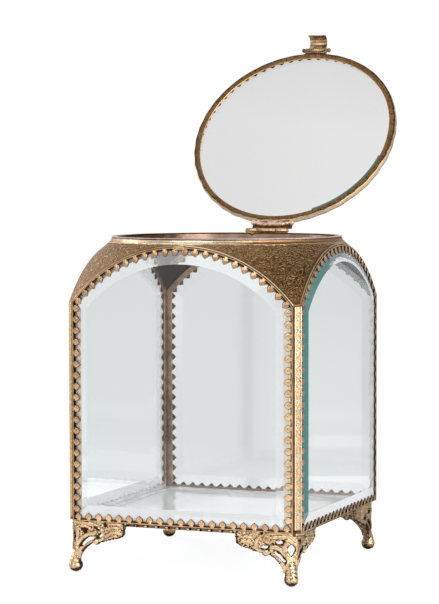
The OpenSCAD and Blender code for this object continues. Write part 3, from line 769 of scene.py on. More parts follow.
def fogged(piece, outward, bevel, flat, low=0.0):
    values = []
    for p in piece.data.polygons:
        slope = abs(Vector(outward).dot(p.normal))
        onBevel = 0.8 < slope < 0.999
        atFoot = low and onBevel and p.center.z / mm < foldZ + pane["bevelEnd"]
        values.append(low if atFoot else bevel if onBevel else flat if slope >= 0.999 else 0.0)
    setValues(piece.data, "film", "FACE", values)


def makePane(side, place, path):  # a straight edge in the channel, then a wide bevel up to the flat middle
    s = channel["sheet"] + pane["lift"]
    edge = s + pane["edge"]
    profile = [(pane["fit"], s), (pane["fit"], edge), (pane["bevelStart"], edge),
               (pane["bevelEnd"], s + pane["full"])]
    points, faces = paneShape(path, profile)
    node = side + "_glass"
    shape = Shape().add(place(points), faces, "glass")
    piece = shape.object(partName(node), "case", "glass", [node], sharp=4)
    fogged(piece, outwardOf(place), *pane["film"][side], pane["lowFilm"].get(side, 0.0))


for side, turn in walls.items():
    makePane(side, wallPlace(turn), archPath)
makePane("base", floorPlace, squarePath)
print("panes made")

post = {
    "band": (-0.9, 1.72),  # its left and right edges from the middle of the chamfer
    "rise": 0.3,
    "border": 0.36,
    "lip": 0.1,  # slope on each side of a border
    "field": 0.02,
    "levels": 41,
    "sway": 0.015,
    "scroll": 3.56,  # length of one repeat
    "scrollEnds": 1.4,
    "seed": 11,
    # painted light and shade: the posts' bands are copies of one stamped brass, the front left one more golden
    # and the back right one dim, by how light falls on each corner
    "finish": {"front_left_post": "golden", "back_right_post": "dim"},
    # darkening round the band: patina in the sunk field and painted shade on its sides and borders; the front
    # left post keeps its field bright as a painted highlight between borders of painted shade
    "dark": [0.3, 0.85, 1, 0.4, 0, 0, 0.62, 0.62, 0, 0, 0.5, 1, 1],
    "darkLeft": [0.3, 0.85, 1, 0.8, 0.62, 0.5, 0, 0, 0.4, 0.55, 0.7, 1, 1],
}


def scrollMesh():  # one repeat of the stamped running scroll: a curl and two leaf strokes
    curl = [(-0.5 + 0.62 * math.cos(a) * (1 - 0.09 * i), 0.6 * math.sin(a) * (1 - 0.09 * i))
            for i, a in enumerate(np.linspace(-0.4, 4.4, 9))]
    leaf = [(0.05, -0.72), (0.5, -0.35), (0.95, 0.15), (1.4, 0.68)]
    back = [(0.3, 0.62), (0.72, 0.7), (1.05, 0.5)]
    points, faces, recess = [], [], []
    for line, width in ((curl, 0.22), (leaf, 0.26), (back, 0.17)):
        start, last = len(points), len(line) - 1
        for i, (x, y) in enumerate(line):
            ahead = np.array(line[min(i + 1, last)]) - np.array(line[max(i - 1, 0)])
            across = np.array([-ahead[1], ahead[0]]) / np.linalg.norm(ahead)
            w = width * (1 if 0 < i < last else 0.4)
            points += [(x + across[0] * w * k, y + across[1] * w * k, z)
                       for k, z in ((1, -0.12), (0.4, 0.2), (-0.4, 0.2), (-1, -0.12))]
            recess += [0.55, 0.0, 0.0, 0.55]
        for at in range(start, start + 4 * last, 4):
            faces += [(at + j, at + 4 + j, at + 5 + j, at + 1 + j) for j in range(3)]
        e = start + 4 * last
        faces += [(start, start + 1, start + 2, start + 3), (e + 3, e + 2, e + 1, e)]
    return patternObject("scrollPattern", points, faces, recess)


pattern["scroll"] = scrollMesh()


def makePost(node, turn):
    # drawn for the front right corner: (across, out, up) from the middle of the corner's chamfer
    p = post
    middle = np.array([inner + channel["depth"] / 2, -inner - channel["depth"] / 2])
    across, out = np.array([1, 1]) / math.sqrt(2), np.array([1, -1]) / math.sqrt(2)
    low, high = lowHigh(node)[0][2], lowHigh(node)[1][2]
    (left, right), rise, field, edge, slope = (p[k] for k in ("band", "rise", "field", "border", "lip"))
    deep = channel["depth"] / math.sqrt(2)
    ring = [(-deep + 0.05, -0.08), (-deep + 0.3, -0.42), (left - 0.08, -0.48), (left, rise - 0.14),
            (left + slope, rise), (left + edge, rise), (left + edge + slope, field),
            (right - edge - slope, field), (right - edge, rise), (right - slope, rise),
            (right, rise - 0.14), (right + 0.02, -0.12), (0, -deep + 0.1)]
    dark = p["darkLeft" if node == "front_left_post" else "dark"]

    def place(v):
        v = np.asarray(v, float)
        flat = middle + v[:, :1] * across + v[:, 1:2] * out
        return spin(np.stack([flat[:, 0], flat[:, 1], v[:, 2]], 1), math.radians(turn))

    m, levels = len(ring), p["levels"]
    rng = np.random.default_rng(p["seed"] + turn)
    points = []
    for z in np.linspace(low, high, levels):
        sway = rng.normal(0, p["sway"], 2)
        points += [(u + sway[0], n + sway[1], z) if r < 1 else (u, n, z) for (u, n), r in zip(ring, dark)]
    faces = [(i * m + j, i * m + (j + 1) % m, (i + 1) * m + (j + 1) % m, (i + 1) * m + j)
             for i in range(levels - 1) for j in range(m)]
    faces += [tuple(range(m)), tuple((levels - 1) * m + j for j in range(m))]
    finish = p["finish"].get(node, "band")
    shape = Shape().add(place(points), faces, finish, dark * levels)
    centre = (left + right) / 2
    line = place([(centre, field - 0.01, z) for z in (low + p["scrollEnds"], high - p["scrollEnds"])])
    outward = outwardOf(place, (0, 1, 0))
    shape.add(*alongEdges([line], pattern["scroll"], outward, finish, p["scroll"], 0.03, p["seed"]))
    return shape.object(partName(node), "case", "stamped_brass", [node], sharp=40, weld=0)


for corner, turn in corners.items():
    makePost(corner + "_post", turn)
print("posts made")

canopy = {
    "thick": 0.8,
    "setback": 0.2,
    "around": 720,
    "wireAt": 0.42,  # middle of the wire-like border, from the edge
    "wireHigh": 0.2,
    "wireWide": 0.14,
    "plain": 1.5,  # width of the plain border
    "sunk": 0.072,  # how far it lies below the embossed field
    "bright": (0.755, 0.875),  # where the wire has a painted highlight: the right half of the front
    # painted sheen near the collar: which way it faces, how wide, how strong
    "sheenTowards": -15,
    "sheenWide": 7.0,
    "worn": 0.9,
}


def canopyHeight(x, y, r, sphere):
    z = archZ + math.sqrt(sphere**2 - r * r)
    if max(abs(x), abs(y)) > inner:  # rests on the arches inside the walls
        along = min(abs(x), abs(y))
        z = max(z, archZ + math.sqrt(max(archR**2 - along**2, 0)) + 0.01)
    return max(z, springZ - 0.2)


def makeCanopy():
    c, n = canopy, canopy["around"]
    side, corner = faceY - c["setback"], faceY + inner
    # steps in from the edge in millimetres, and then in shares of the way to the collar
    near = [0, 0.12, 0.26, 0.34, 0.42, 0.5, 0.58, 0.72, 1.0, 1.3, 1.6]
    share = [0.1, 0.2, 0.32, 0.45, 0.58, 0.7, 0.82, 0.92, 1.0]
    m = len(near) + len(share)
    ring = list(range(m)) + [m + j for j in reversed(range(m))]
    points, recess, faces, kinds = [], [], [], []
    for i in range(n):
        a = 2 * math.pi * (i + 0.5) / n
        ca, sa = math.cos(a), math.sin(a)
        edge = min(side / max(abs(ca), abs(sa)), corner / (abs(ca) + abs(sa)))
        alongWall = edge * (abs(ca) + abs(sa)) < corner - 0.3
        wide = edge - collarR
        insets = near + [near[-1] + (wide - near[-1]) * s for s in share]
        for sphere, outer in ((domeR, True), (domeR - c["thick"], False)):
            for e in insets:
                r = edge - e
                z = canopyHeight(r * ca, r * sa, r, sphere)
                if outer:
                    z += c["wireHigh"] * math.exp(-((e - c["wireAt"]) / c["wireWide"]) ** 2)
                    z -= c["sunk"] / (1 + math.exp((e - c["plain"]) * 6))
                points.append((r * ca, r * sa, z))
                recess.append(1.0 if e < c["plain"] or r < collarR + 0.35 else 0.0)
        # the wire along the walls has a painted highlight on the right half of the front
        wire = "cream" if c["bright"][0] < i / n < c["bright"][1] else "rim"
        for j, (a, b) in enumerate(zip(ring, ring[1:] + ring[:1])):
            faces.append((i * 2 * m + a, (i + 1) % n * 2 * m + a, (i + 1) % n * 2 * m + b, i * 2 * m + b))
            kinds.append(wire if 2 <= j <= 5 and alongWall else "copper" if j < m - 1 else "under")
    shape = Shape().add(points, faces, kinds, recess)
    piece = shape.object("canopySheet", "case", "embossed_copper", ["canopy"], sharp=50)
    # painted sheen around the collar, strongest towards the right
    worn = []
    for v in piece.data.vertices:
        x, y = v.co.x / mm, v.co.y / mm
        facing = (1 + math.cos(math.atan2(y, x) - math.radians(c["sheenTowards"]))) / 2
        worn.append(math.exp(-((math.hypot(x, y) - collarR) / c["sheenWide"]) ** 2) * c["worn"] * facing**2)
    setValues(piece.data, "wear", "POINT", worn)


makeCanopy()

collar = {
    "steps": 480,
    "lip": 0.55,  # outer lip, beyond the collar's own radius
    "ring": 2.0,  # inner ring, inside it
    "ringHigh": 0.3,  # how much higher the ring stands on the hinge side
    "notchX": -5.5,
    "notchWide": 0.7,
    "notchDeep": 0.8,
    "ripple": 0.3,
    "waves": ((7, 1, 0.35), (17, 2.2, 0.3), (43, 0, 0.25), (71, 0, 0.15)),  # how many around, start, strength
    "dark": ((0.75, 8, 22), (0.95, 12, 16)),  # painted shade towards the left and the right: how much, from where, how wide
    "darkRing": (0.9, 16, 22),  # and painted shade both ways on the inner ring
}


def makeCollar():
    c = collar
    low, top, r = collarLow[2], rimZ, collarR
    out, ring, step = r + c["lip"], r - c["ring"], c["ringHigh"]

    def dome(e):  # the canopy's surface outside the collar
        return archZ + math.sqrt(domeR**2 - (r + e) ** 2)

    def towardsEnd(x, most, start, wide):
        return most * clamp((x - start) / wide)

    profile = [(r - 0.05, low), (r + 1.35, dome(1.35) - 0.3), (r + 1.35, dome(1.35) + 0.08),
               (r + 1.0, dome(1.0) + 0.16), (out + 0.12, dome(0.67) + 0.26), (out + 0.04, top - 1.15),
               (out, top - 0.86), (out - 0.34, top - 0.8), (out - 0.34, top - 0.42), (out - 0.05, top - 0.38),
               (out - 0.02, top - 0.14), (out - 0.4, top - 0.05), (ring + 0.7, top - 0.12),
               (ring + 0.62, top - step - 0.02), (ring + 0.5, top - step), (ring + 0.1, top - step),
               (ring, top - step - 0.12), (ring, top - step - 0.5), (ring, top - 2.4), (ring, low)]
    # a strip of the inner ring's wall is near-black painted shadow
    kinds = (["channel", "solder"] + ["collar"] * 4 + ["channel"] * 3 + ["silvered"] * 3 + ["valley"] * 4
             + ["slot"] + ["inside"] * 3)
    points, faces = sweep(lambda radius: circle(radius, c["steps"]), profile)
    moved, recess = [], []
    left, right = c["dark"]
    for k, (x, y, z) in enumerate(points):
        a, j = math.atan2(y, x), k % len(profile)
        wave = sum(math.sin(waves * a + start) * strong for waves, start, strong in c["waves"])
        if 1 <= j <= 3:  # solder along its foot runs out unevenly over the canopy
            grow = 1 + c["ripple"] * wave / r
            x, y, z = x * grow, y * grow, z - c["ripple"] * wave * 0.76
        if 4 <= j <= 5:
            z += 0.05 * math.sin(29 * a) + 0.04 * math.sin(53 * a + 1)
        if 13 <= j <= 17:  # the inner ring, with its notch by the hinge
            z += step * clamp((y + 10) / 20)
            z -= c["notchDeep"] * math.exp(-((x - c["notchX"]) / c["notchWide"]) ** 2) * (y > 0)
        moved.append((x, y, z))
        # painted shade towards the collar's left and right ends, and on the inner ring
        ends = towardsEnd(-x, *left) + towardsEnd(x, *right)
        recess.append(clamp(ends + 0.1 * wave if j < 12 else towardsEnd(abs(x), *c["darkRing"])))
    shape = Shape().add(moved, faces, kinds * c["steps"], recess)
    shape.object("collarBand", "case", "collar_brass", ["collar"], sharp=45)


makeCollar()
print("canopy and collar made")

# Cast feet: drawn flat as (along, up), pierced, bent round the corner, then given their relief.
foot = {
    "outer": 43.5,  # outer faces of the wings from the middle of the casket
    "thick": 1.0,
    "corner": 2.2,  # chamfer at the corner, along each wing
    "relief": 0.3,
    "chasing": 0.07,  # depth of the lumps where there is no pattern
    "line": 0.3,  # dark line along the edges
    "flatVoxel": 0.34,
    "voxel": 0.2,
    "toe": 41.9,  # from the casket's middle, along each side
    "toeTop": 8.0,
    # lumps from the toe up: outward, up, radius, height, width
    "leg": ((0, 2.43, 2.58, 0.94, 1.0), (0.05, 3.9, 2.1, 1.1, 1.12), (0, 5.4, 1.7, 1.1, 1.35),
            (-0.1, 6.9, 1.42, 1, 1.5), (-0.2, 8.2, 1.2, 1, 1.6), (-0.35, 9.5, 0.95, 1, 1.6)),
    "shift": {"front_left": (-0.85, -0.4), "front_right": (-0.8, -0.4), "back_right": (-0.2, 0.2),
              "back_left": (0, 0)},
    # painted shade, lighter or darker for each corner, and on faces turned away
    "shade": {"back_left": 0.05, "back_right": -0.15},
    "turned": 0.98,  # cosine from which it counts as turned away, for painted shade
    "edge": 2.8,  # how dark the painted shade is there
    "within": 0.8,  # how dark the painted shade on its inner faces is
    "toeEdge": {"front_left": 0.9, "back_left": 0.15, "back_right": 0.5},  # and on a toe, where that differs
    "open": {"back_right": 0},  # holes that came out of the mould clear in the side wing
    "seed": 5,
}
halfCorner = foot["corner"] / math.sqrt(2)
wingReach, wingMiddle = foot["outer"] - foot["thick"] / 2, foot["corner"] / 2

wingEdge = [(20.9, 19.25), (21.6, 18.5), (21.75, 17.2), (21.3, 16.2), (21.5, 15.2), (20.9, 14.3),
            (19.6, 13.6), (18.0, 13.2), (16.2, 12.75), (14.5, 12.2), (13.0, 11.85), (11.8, 11.5),
            (11.2, 10.9), (10.4, 10.6), (9.6, 10.9), (9.1, 11.25), (8.0, 10.7), (6.85, 9.85), (5.85, 8.95),
            (5.0, 7.9), (4.3, 6.9), (3.8, 5.8), (3.6, 4.9)]
wings = {
    "plain": {
        "holes": [
            [(4.0, 10.0), (4.8, 9.75), (6.2, 10.9), (7.8, 11.9), (9.1, 12.6), (9.0, 13.3), (7.75, 13.5),
             (5.7, 12.2)],
            [(10.1, 17.0), (10.8, 16.3), (11.9, 16.1), (12.2, 16.6), (11.3, 17.1), (10.6, 17.3)],
            [(10.8, 13.1), (12.2, 13.3), (13.1, 14.1), (12.5, 14.8), (11.7, 14.5)],
        ],
        "strokes": [
            ([(8.2, 18.6), (9.2, 18.1), (11.85, 16.9), (13.35, 14.9), (12.95, 12.9), (11.4, 11.9),
              (10.2, 11.5)], 0.42, 1.2),
            ([(2.2, 18.5), (5.4, 18.4), (9.2, 17.8)], 0.42, 1.1),
            ([(2.6, 17.1), (5.0, 17.3), (7.4, 16.9)], 0.3, 0.9),
            ([(3.0, 16.4), (3.1, 13.6), (2.7, 10.0), (2.9, 7.0)], 0.5, 1.0),
            ([(3.0, 10.6), (4.8, 12.9), (7.2, 14.3), (10.0, 14.9)], 0.5, 0.95),
            ([(3.3, 7.3), (4.5, 9.1), (5.9, 10.2), (7.4, 11.1), (9.0, 11.8)], 0.45, 0.9),
            ([(7.8, 16.4), (8.8, 15.9), (9.3, 16.7)], 0.3, 0.9),
            ([(10.3, 11.4), (10.5, 11.5)], 0.7, 1.15),
            ([(14.8, 14.2), (16.4, 15.2), (18.6, 15.3), (20.6, 15.0)], 0.36, 0.9),
            ([(15.0, 16.6), (17.0, 17.2), (19.2, 17.2)], 0.32, 0.9),
            ([(15.6, 18.4), (18.2, 18.5), (20.6, 18.3)], 0.3, 0.8),
        ],
        "pits": [((6.0, 15.6), 1.0), ((14.2, 18.1), 0.8), ((4.9, 16.0), 0.5)],
    },
    "scrolled": {
        "holes": [
            [(2.9, 8.6), (3.7, 8.7), (5.2, 10.2), (7.0, 11.6), (6.9, 12.5), (5.8, 12.2), (4.1, 10.8),
             (2.8, 9.3)],
            [(3.65, 16.3), (6.6, 16.1), (6.2, 15.2), (5.1, 14.8), (4.1, 15.2)],
            [(9.1, 13.9), (9.9, 13.2), (11.6, 13.2), (12.1, 13.6), (11.1, 14.3), (9.9, 14.5)],
        ],
        "strokes": [
            ([(11.4, 18.7), (12.6, 17.7), (13.9, 16.2), (14.4, 14.6), (14.2, 13.2), (13.0, 12.4),
              (11.4, 12.0)], 0.42, 1.2),
            ([(1.6, 17.6), (5.0, 17.7), (8.4, 17.1), (10.6, 17.8)], 0.4, 1.0),
            ([(2.6, 18.7), (6.4, 18.8), (10.0, 18.4)], 0.3, 0.8),
            ([(1.9, 16.6), (3.6, 14.2), (3.2, 11.8), (2.2, 9.6), (2.2, 6.8)], 0.5, 1.0),
            ([(3.2, 11.2), (5.0, 13.2), (7.0, 13.9), (8.6, 13.8)], 0.5, 0.9),
            ([(3.4, 7.0), (4.8, 9.0), (6.4, 10.4), (8.2, 11.6)], 0.28, 1.0),
            ([(3.9, 6.7), (5.4, 8.7), (7.0, 10.2), (9.0, 11.3)], 0.24, 0.9),
            ([(8.0, 16.2), (9.2, 15.2), (10.6, 15.6), (11.4, 16.6)], 0.34, 0.95),
            ([(8.6, 17.2), (9.8, 16.6)], 0.26, 0.8),
            ([(10.2, 11.5), (10.5, 11.5)], 0.75, 1.2),
            ([(15.6, 14.6), (17.2, 15.3), (19.6, 15.2)], 0.32, 0.85),
            ([(16.0, 16.8), (18.0, 17.1), (20.2, 16.9)], 0.32, 0.85),
        ],
        "pits": [((12.1, 18.6), 0.6), ((7.9, 15.0), 0.4), ((16.6, 13.6), 0.35)],
    },
}
cornerHole = [(0, 15.1), (1.75, 13.2), (0, 10.6), (-1.75, 13.2)]


def smoothLoop(points, per=3):  # a closed curve through the points
    p = np.array(points, float)
    n, out = len(p), []
    for i in range(n):
        a, b, c, d = p[i - 1], p[i], p[(i + 1) % n], p[(i + 2) % n]
        for k in range(per):
            t = k / per
            out.append(tuple(0.5 * ((2 * b) + (c - a) * t + (2 * a - 5 * b + 4 * c - d) * t * t
                                    + (3 * b - a - 3 * c + d) * t**3)))
    return out


def distanceTo(line, q):  # of each point of q from a polyline
    best = np.full(len(q), 1e9)
    for a, b in zip(np.array(line[:-1], float), np.array(line[1:], float)):
        ab = b - a
        t = np.clip(((q - a) @ ab) / (ab @ ab), 0, 1)
        best = np.minimum(best, np.linalg.norm(q - a - t[:, None] * ab, axis=1))
    return best


lumpWaves = ((2.2, 0.3), (1.3, 0.5), (0.9, 0.6), (0.66, 0.6))  # length in millimetres and strength
wavesEach = 6


def leafTexture(q, rng):  # irregular chased lumps
    total = np.zeros(len(q))
    for wave, strength in lumpWaves:
        for _ in range(wavesEach):
            a, phase = rng.uniform(0, math.pi), rng.uniform(0, 2 * math.pi)
            along = q[:, 0] * math.cos(a) + q[:, 1] * math.sin(a)
            total += strength / wavesEach * np.cos(along * 2 * math.pi / wave + phase)
    return total * 1.5


def edgeLine(kind, q):  # 1 on the outline of a wing and of its holes, falling within half a millimetre
    gap = distanceTo(wingEdge, q)
    for hole in wings[kind]["holes"]:
        gap = np.minimum(gap, distanceTo(hole + hole[:1], q))
    return np.exp(-(gap / foot["line"]) ** 2)


def reliefOf(kind, q, rng):
    high = 0.55 + leafTexture(q, rng)
    for line, width, top in wings[kind]["strokes"]:
        d = distanceTo(line, q)
        groove = np.exp(-((d - width * 1.7) / (width * 0.5)) ** 2)
        high = high * (1 - 0.3 * groove) - 0.25 * groove
        ridge = np.sqrt(np.clip(1 - (d / (width * 1.5)) ** 2, 0, 1))
        high = np.where(d < width * 1.5, np.maximum(high * (1 - 0.8 * ridge), top * ridge), high)
    for (u, z), r in wings[kind]["pits"]:
        d = np.hypot(q[:, 0] - u, q[:, 1] - z)
        high -= np.clip(1.3 - d / r, 0, 1) * 2.2
    strut = (q[:, 1] < 11.3) & (q[:, 0] < 8.6) & (q[:, 0] > 2.6)  # the slanting strut is ribbed
    return high + np.where(strut, 0.22 * np.sin((q[:, 0] + q[:, 1]) * 5.4), 0)


def voxelSkin(mesh, voxel, smoothing):  # one closed skin around all that the mesh holds
    carrier = linked("rough", mesh)
    remesh = carrier.modifiers.new("remesh", "REMESH")
    remesh.mode, remesh.voxel_size = "VOXEL", voxel * mm
    if smoothing:
        smooth = carrier.modifiers.new("smooth", "SMOOTH")
        smooth.factor, smooth.iterations = 0.5, smoothing
    made = evaluated(carrier)
    bpy.data.objects.remove(carrier)
    return made


def readMesh(mesh):  # points in millimetres, normals and faces
    v, normal = np.zeros(len(mesh.vertices) * 3), np.zeros(len(mesh.vertices) * 3)
    mesh.vertices.foreach_get("co", v)
    mesh.vertex_normals.foreach_get("vector", normal)
    faces = [tuple(p.vertices) for p in mesh.polygons]
    bpy.data.meshes.remove(mesh)
    return v.reshape(-1, 3) / mm, normal.reshape(-1, 3), faces


def castFlat(kinds, pierced=3):
    # the foot's two wings as one flat pierced slab; its front wing runs to the left of the corner
    turn = halfCorner - foot["corner"]  # unrolled distance less distance along the wing
    left = [(-(u + turn), z) for u, z in wingEdge]
    right = [(u + turn, z) for u, z in reversed(wingEdge)]
    loops = [smoothLoop(left + right, 2), cornerHole]
    for kind, sign in ((kinds[0], -1), (kinds[1], 1)):
        some = wings[kind]["holes"][:pierced if sign > 0 else None]
        loops += [smoothLoop([(sign * (u + turn), z) for u, z in hole]) for hole in some]
    curve = bpy.data.curves.new("wing", "CURVE")
    curve.dimensions, curve.fill_mode = "2D", "BOTH"
    curve.extrude = foot["thick"] / 2 * mm
    for loop in loops:
        spline = curve.splines.new("POLY")
        spline.points.add(len(loop) - 1)
        for point, (u, z) in zip(spline.points, loop):
            point.co = (u * mm, z * mm, 0, 1)
        spline.use_cyclic_u = True
    carrier = linked("wing", curve)
    slab = evaluated(carrier)
    bpy.data.objects.remove(carrier)
    closeUp(slab, 0.001)
    return readMesh(voxelSkin(slab, foot["flatVoxel"], 0))


def bend(flat):  # wraps (along, up, out) round the front right corner with its chamfer
    half, reach, middle = halfCorner, wingReach, wingMiddle
    u, z, t = flat[:, 0], flat[:, 1], flat[:, 2]
    ease = np.clip((u + half) / 0.8 + 0.5, 0, 1) + np.clip((u - half) / 0.8 + 0.5, 0, 1)
    angle = -math.pi / 2 + ease * math.pi / 4
    slant = u / math.sqrt(2)
    x = reach - middle + np.where(u < -half, -middle + (u + half), np.where(u > half, middle, slant))
    y = -(reach - middle) + np.where(u < -half, -middle, np.where(u > half, middle + (u - half), slant))
    return np.stack([x + np.cos(angle) * t, y + np.sin(angle) * t, z], 1)


def ball(centre, radius, squash=1.0, steps=3):
    work = bmesh.new()
    bmesh.ops.create_icosphere(work, subdivisions=steps, radius=radius)
    points = [(centre[0] + v.co.x, centre[1] + v.co.y, centre[2] + v.co.z * squash) for v in work.verts]
    faces = [tuple(v.index for v in f.verts) for f in work.faces]
    work.free()
    return points, faces


def footBlank(corner, kinds):  # the bent wings and the leg in one skin, still plain
    flat, _, faces = castFlat(kinds, foot["open"].get(corner, 3))
    shape = Shape().add(bend(flat), faces, "cast")
    toe = foot["toe"]
    for out, z, size, squash, wide in foot["leg"]:
        points, faces = ball((0, 0, 0), size, squash)
        spread = [(x + y) * (wide - 1) / 2 for x, y, _ in points]  # wider along the chamfer than through it
        points = [(toe + out + x + e, -toe - out + y + e, z + up) for (x, y, up), e in zip(points, spread)]
        shape.add(points, faces, "cast")
    return readMesh(voxelSkin(newMesh("footRough", shape.points, shape.faces), foot["voxel"], 3))


def makeFoot(corner, turn, kinds):
    # drawn for the front right corner; kinds are the patterns of its front and its side wing
    f = foot
    v, normal, faces = footBlank(corner, kinds)
    x, y, z = v.T
    nx, ny, nz = normal.T
    rng = np.random.default_rng(f["seed"] + turn)
    turnAt = wingReach - wingMiddle
    diagonal = ((x - turnAt) + (y + turnAt)) / math.sqrt(2)  # distance along the chamfer
    low = z < f["toeTop"]
    onFront = (diagonal < -halfCorner) & (ny < -0.3) & (y < -(wingReach - 0.3)) & ~low
    onSide = (diagonal > halfCorner) & (nx > 0.3) & (x > wingReach - 0.3) & ~low
    lumps = leafTexture(np.stack([x - y, z * 1.2 + (x + y) * 0.7], 1), rng)
    push = f["chasing"] * lumps
    recess = np.clip(0.42 - 0.45 * lumps, 0, 1)
    # painted shade under the toe, where its faces turn down
    recess[low] = np.clip(0.3 - 0.34 * lumps[low] + 0.9 * np.clip(-nz[low] - 0.1, 0, 1), 0, 1)
    for on, kind, along in ((onFront, kinds[0], f["outer"] - x), (onSide, kinds[1], f["outer"] + y)):
        spots = np.stack([along[on], z[on]], 1)
        high = reliefOf(kind, spots, rng)
        push[on] = f["relief"] * np.clip(high, -1, 1.2)
        recess[on] = np.clip(0.76 - high * 0.8, 0, 1) + 0.85 * edgeLine(kind, spots)
    # painted shade: darker where faces turn from the front, the side and the corner, on inner faces, on faces
    # turned down, towards the floor, and by each corner's shade
    facing = np.max(np.stack([-ny, nx, (nx - ny) / math.sqrt(2)]), 0)
    edge = np.where(low, f["toeEdge"].get(corner, f["edge"]), f["edge"])
    recess += np.clip(f["turned"] - facing, 0, 1) * edge
    recess[((nx < -0.4) | (ny > 0.4)) & ~low] = f["within"]
    under = (nz < -0.5) & (z > 3)
    recess[under] = np.clip(recess[under] + 0.3, 0, 1)
    recess += np.clip(1.6 - z, 0, 1) * 0.4 + f["shade"].get(corner, 0)
    v = v + normal * push[:, None]
    v[:, 2] = np.clip(v[:, 2], 0, foldZ - 0.005)
    v = spin(v, math.radians(turn))
    across, back = f["shift"][corner]
    v[:, 0] = np.clip(v[:, 0] + across, -faceY - 0.42, faceY + 0.42)
    v[:, 1] += back
    node = corner + "_foot"
    shape = Shape().add(v, faces, "cast", np.clip(recess, 0, 1))
    return shape.object(partName(node), "case", "cast_brass", [node], sharp=180, weld=0, outward=False)


for corner, turn in corners.items():
    makeFoot(corner, turn, ("scrolled", "plain"))
print("feet made")

lid = {
    "steps": 480,
    "depth": 2.6,
    "flange": 2.9,
    "narrower": 0.35,  # how much less of it shows by the hinge
    "bead": 0.42,  # how far the rim's rounding cuts in
    "beadSteps": 9,
    "wide": 0.58,  # the ring is a little wider than deep
    "ripple": 0.34,
    "ripples": 40,
    "lift": 0.03,  # of the pane off the flange
    "edge": 1.7,
    "full": 1.9,
    "bevel": (1.3, 6.2),
    # painted shade on the bead, far from the hinge
    "dark": 0.5,
    "gleamWide": 0.95,
    "gleam": (14, 66),  # part of the pane's edge with a painted green glow, in degrees
    "seed": 3,
}


def lidRim(inset=0.0):
    ring = []
    for i in range(lid["steps"]):
        a = 2 * math.pi * i / lid["steps"]
        worn = 0.25 + 0.75 * clamp(0.6 + math.sin(a))  # the rim is truer towards the latch
        wave = 0.5 + worn * (0.32 * math.sin(lid["ripples"] * a) + 0.18 * math.sin(17 * a + 1))
        r = lidR - inset - (lid["ripple"] * wave if inset < lid["bead"] + 0.1 else 0)
        if inset > 2:  # the flange's inner edge
            r += lid["narrower"] * max(math.sin(a), 0)
        ring.append(((r + lid["wide"]) * math.cos(a), r * math.sin(a)))
    return ring


def makeLidFrame():
    d, cut, s, steps, flange = lid["depth"], lid["bead"], channel["sheet"], lid["steps"], lid["flange"]
    near, far, end = channel["slot"]
    rounded = [(cut * (1 - math.sin(t)), d / 2 * (1 + math.cos(t)))
               for t in np.linspace(0, math.pi, lid["beadSteps"])]
    profile = [(1.15, 0), (flange - 0.12, 0), (flange, 0.14), (flange, s), (s, s), (s, d - s), (end, d - s),
               (end, d - 0.3), (far, d - 0.24), (near, d - 0.3)] + rounded
    kinds = ["flange", "innerEdge", "innerEdge", "flangeBack", "slot", "slot", "slot", "valley", "slot"]
    kinds += ["bead"] * lid["beadSteps"] + ["flange"]
    # painted shade in the slots and on the bead's edges, and a painted highlight along its middle
    dark = [0.35, 0.1, 0, 0, 1, 1, 1, 1, 1, 0.8] + [1, 1, 0.8, 0.35, 0.05, 0, 0.05, 0.4, 0.7]
    recess = []
    for i in range(steps):  # its bead has more painted shade far from the hinge
        shade = lid["dark"] * clamp((0.35 - math.sin(2 * math.pi * i / steps)) / 0.3)
        recess += [min(r + (shade if j >= len(profile) - len(rounded) else 0), 1) for j, r in enumerate(dark)]
    points, faces = sweep(lidRim, profile)
    shape = Shape().add(lidPlace(points), faces, kinds * steps, recess)
    gap = math.pi / round(2 * math.pi * lidR / tooth["pitch"])
    row = [((lidR - cut + lid["wide"]) * math.cos(a), (lidR - cut) * math.sin(a), d - channel["sunk"])
           for a in np.linspace(gap, 2 * math.pi - gap, 240)]
    shape.add(*alongEdges([lidPlace(row)], pattern["lidTooth"], outwardOf(openLid), "gilt", tooth["pitch"],
                          tooth["jitter"], lid["seed"]))
    shape.object("lidFrame", "lid", "frame_brass", ["lid_frame"], sharp=28)


def makeLidPane():
    s = channel["sheet"] + lid["lift"]
    gleam, edge, (start, end) = lid["flange"] - lid["narrower"], s + lid["edge"], lid["bevel"]
    profile = [(gleam + lid["gleamWide"], s), (gleam, s), (pane["fit"], s), (pane["fit"], edge), (start, edge),
               (end, s + lid["full"])]
    points, faces = paneShape(lidPath, profile)
    points = [(x * (1 + lid["wide"] / lidR), y, z) for x, y, z in points]
    shape = Shape().add(lidPlace(points), faces, "glass")
    piece = shape.object("lidPane", "lid", "glass", ["lid_glass"], sharp=4)
    fogged(piece, outwardOf(openLid), 0.0, 0.0)
    # painted glow: a ring on the pane's underside glows green along that part of its edge
    first, last = (math.radians(v) for v in lid["gleam"])
    shine, steps = [0.0] * len(faces), len(lidPath())
    for i in range(steps):
        if first < math.remainder(2 * math.pi * i / steps, 2 * math.pi) < last:
            shine[i * (len(profile) - 1)] = 1.0
    setValues(piece.data, "gleam", "FACE", shine)


makeLidFrame()
makeLidPane()
print("lid made")

# Hinge and latch keep the CAD's shapes with their edges eased: body, finish and width of the easing.
fittings = {
    "hinge_case_leaf": ("case", "hingeKnuckle", 0.1),
    "hinge_pin": ("case", "hingeKnuckle", 0.08),
    "latch_keeper": ("case", "rim", 0.16),
    "hinge_lid_leaf": ("lid", "hingeKnuckle", 0.1),
    "latch_bracket": ("lid", "fitting", 0.07),
    # the pin's pale finish is a painted highlight
    "latch_pin": ("lid", "silvered", 0.06),
    "latch_hook": ("latch", "hook", 0.09),
}
easing = {"weld": 0.002, "flat": 1.0, "corner": 40, "sharp": 32}  # in millimetres, and in degrees
barrel = {"slim": 0.72, "radius": 1.4, "leaf": 1.45}  # rolled tight; the leaf's plate starts outside it
pinHeads = {"middle": 0.6, "from": 3.2}


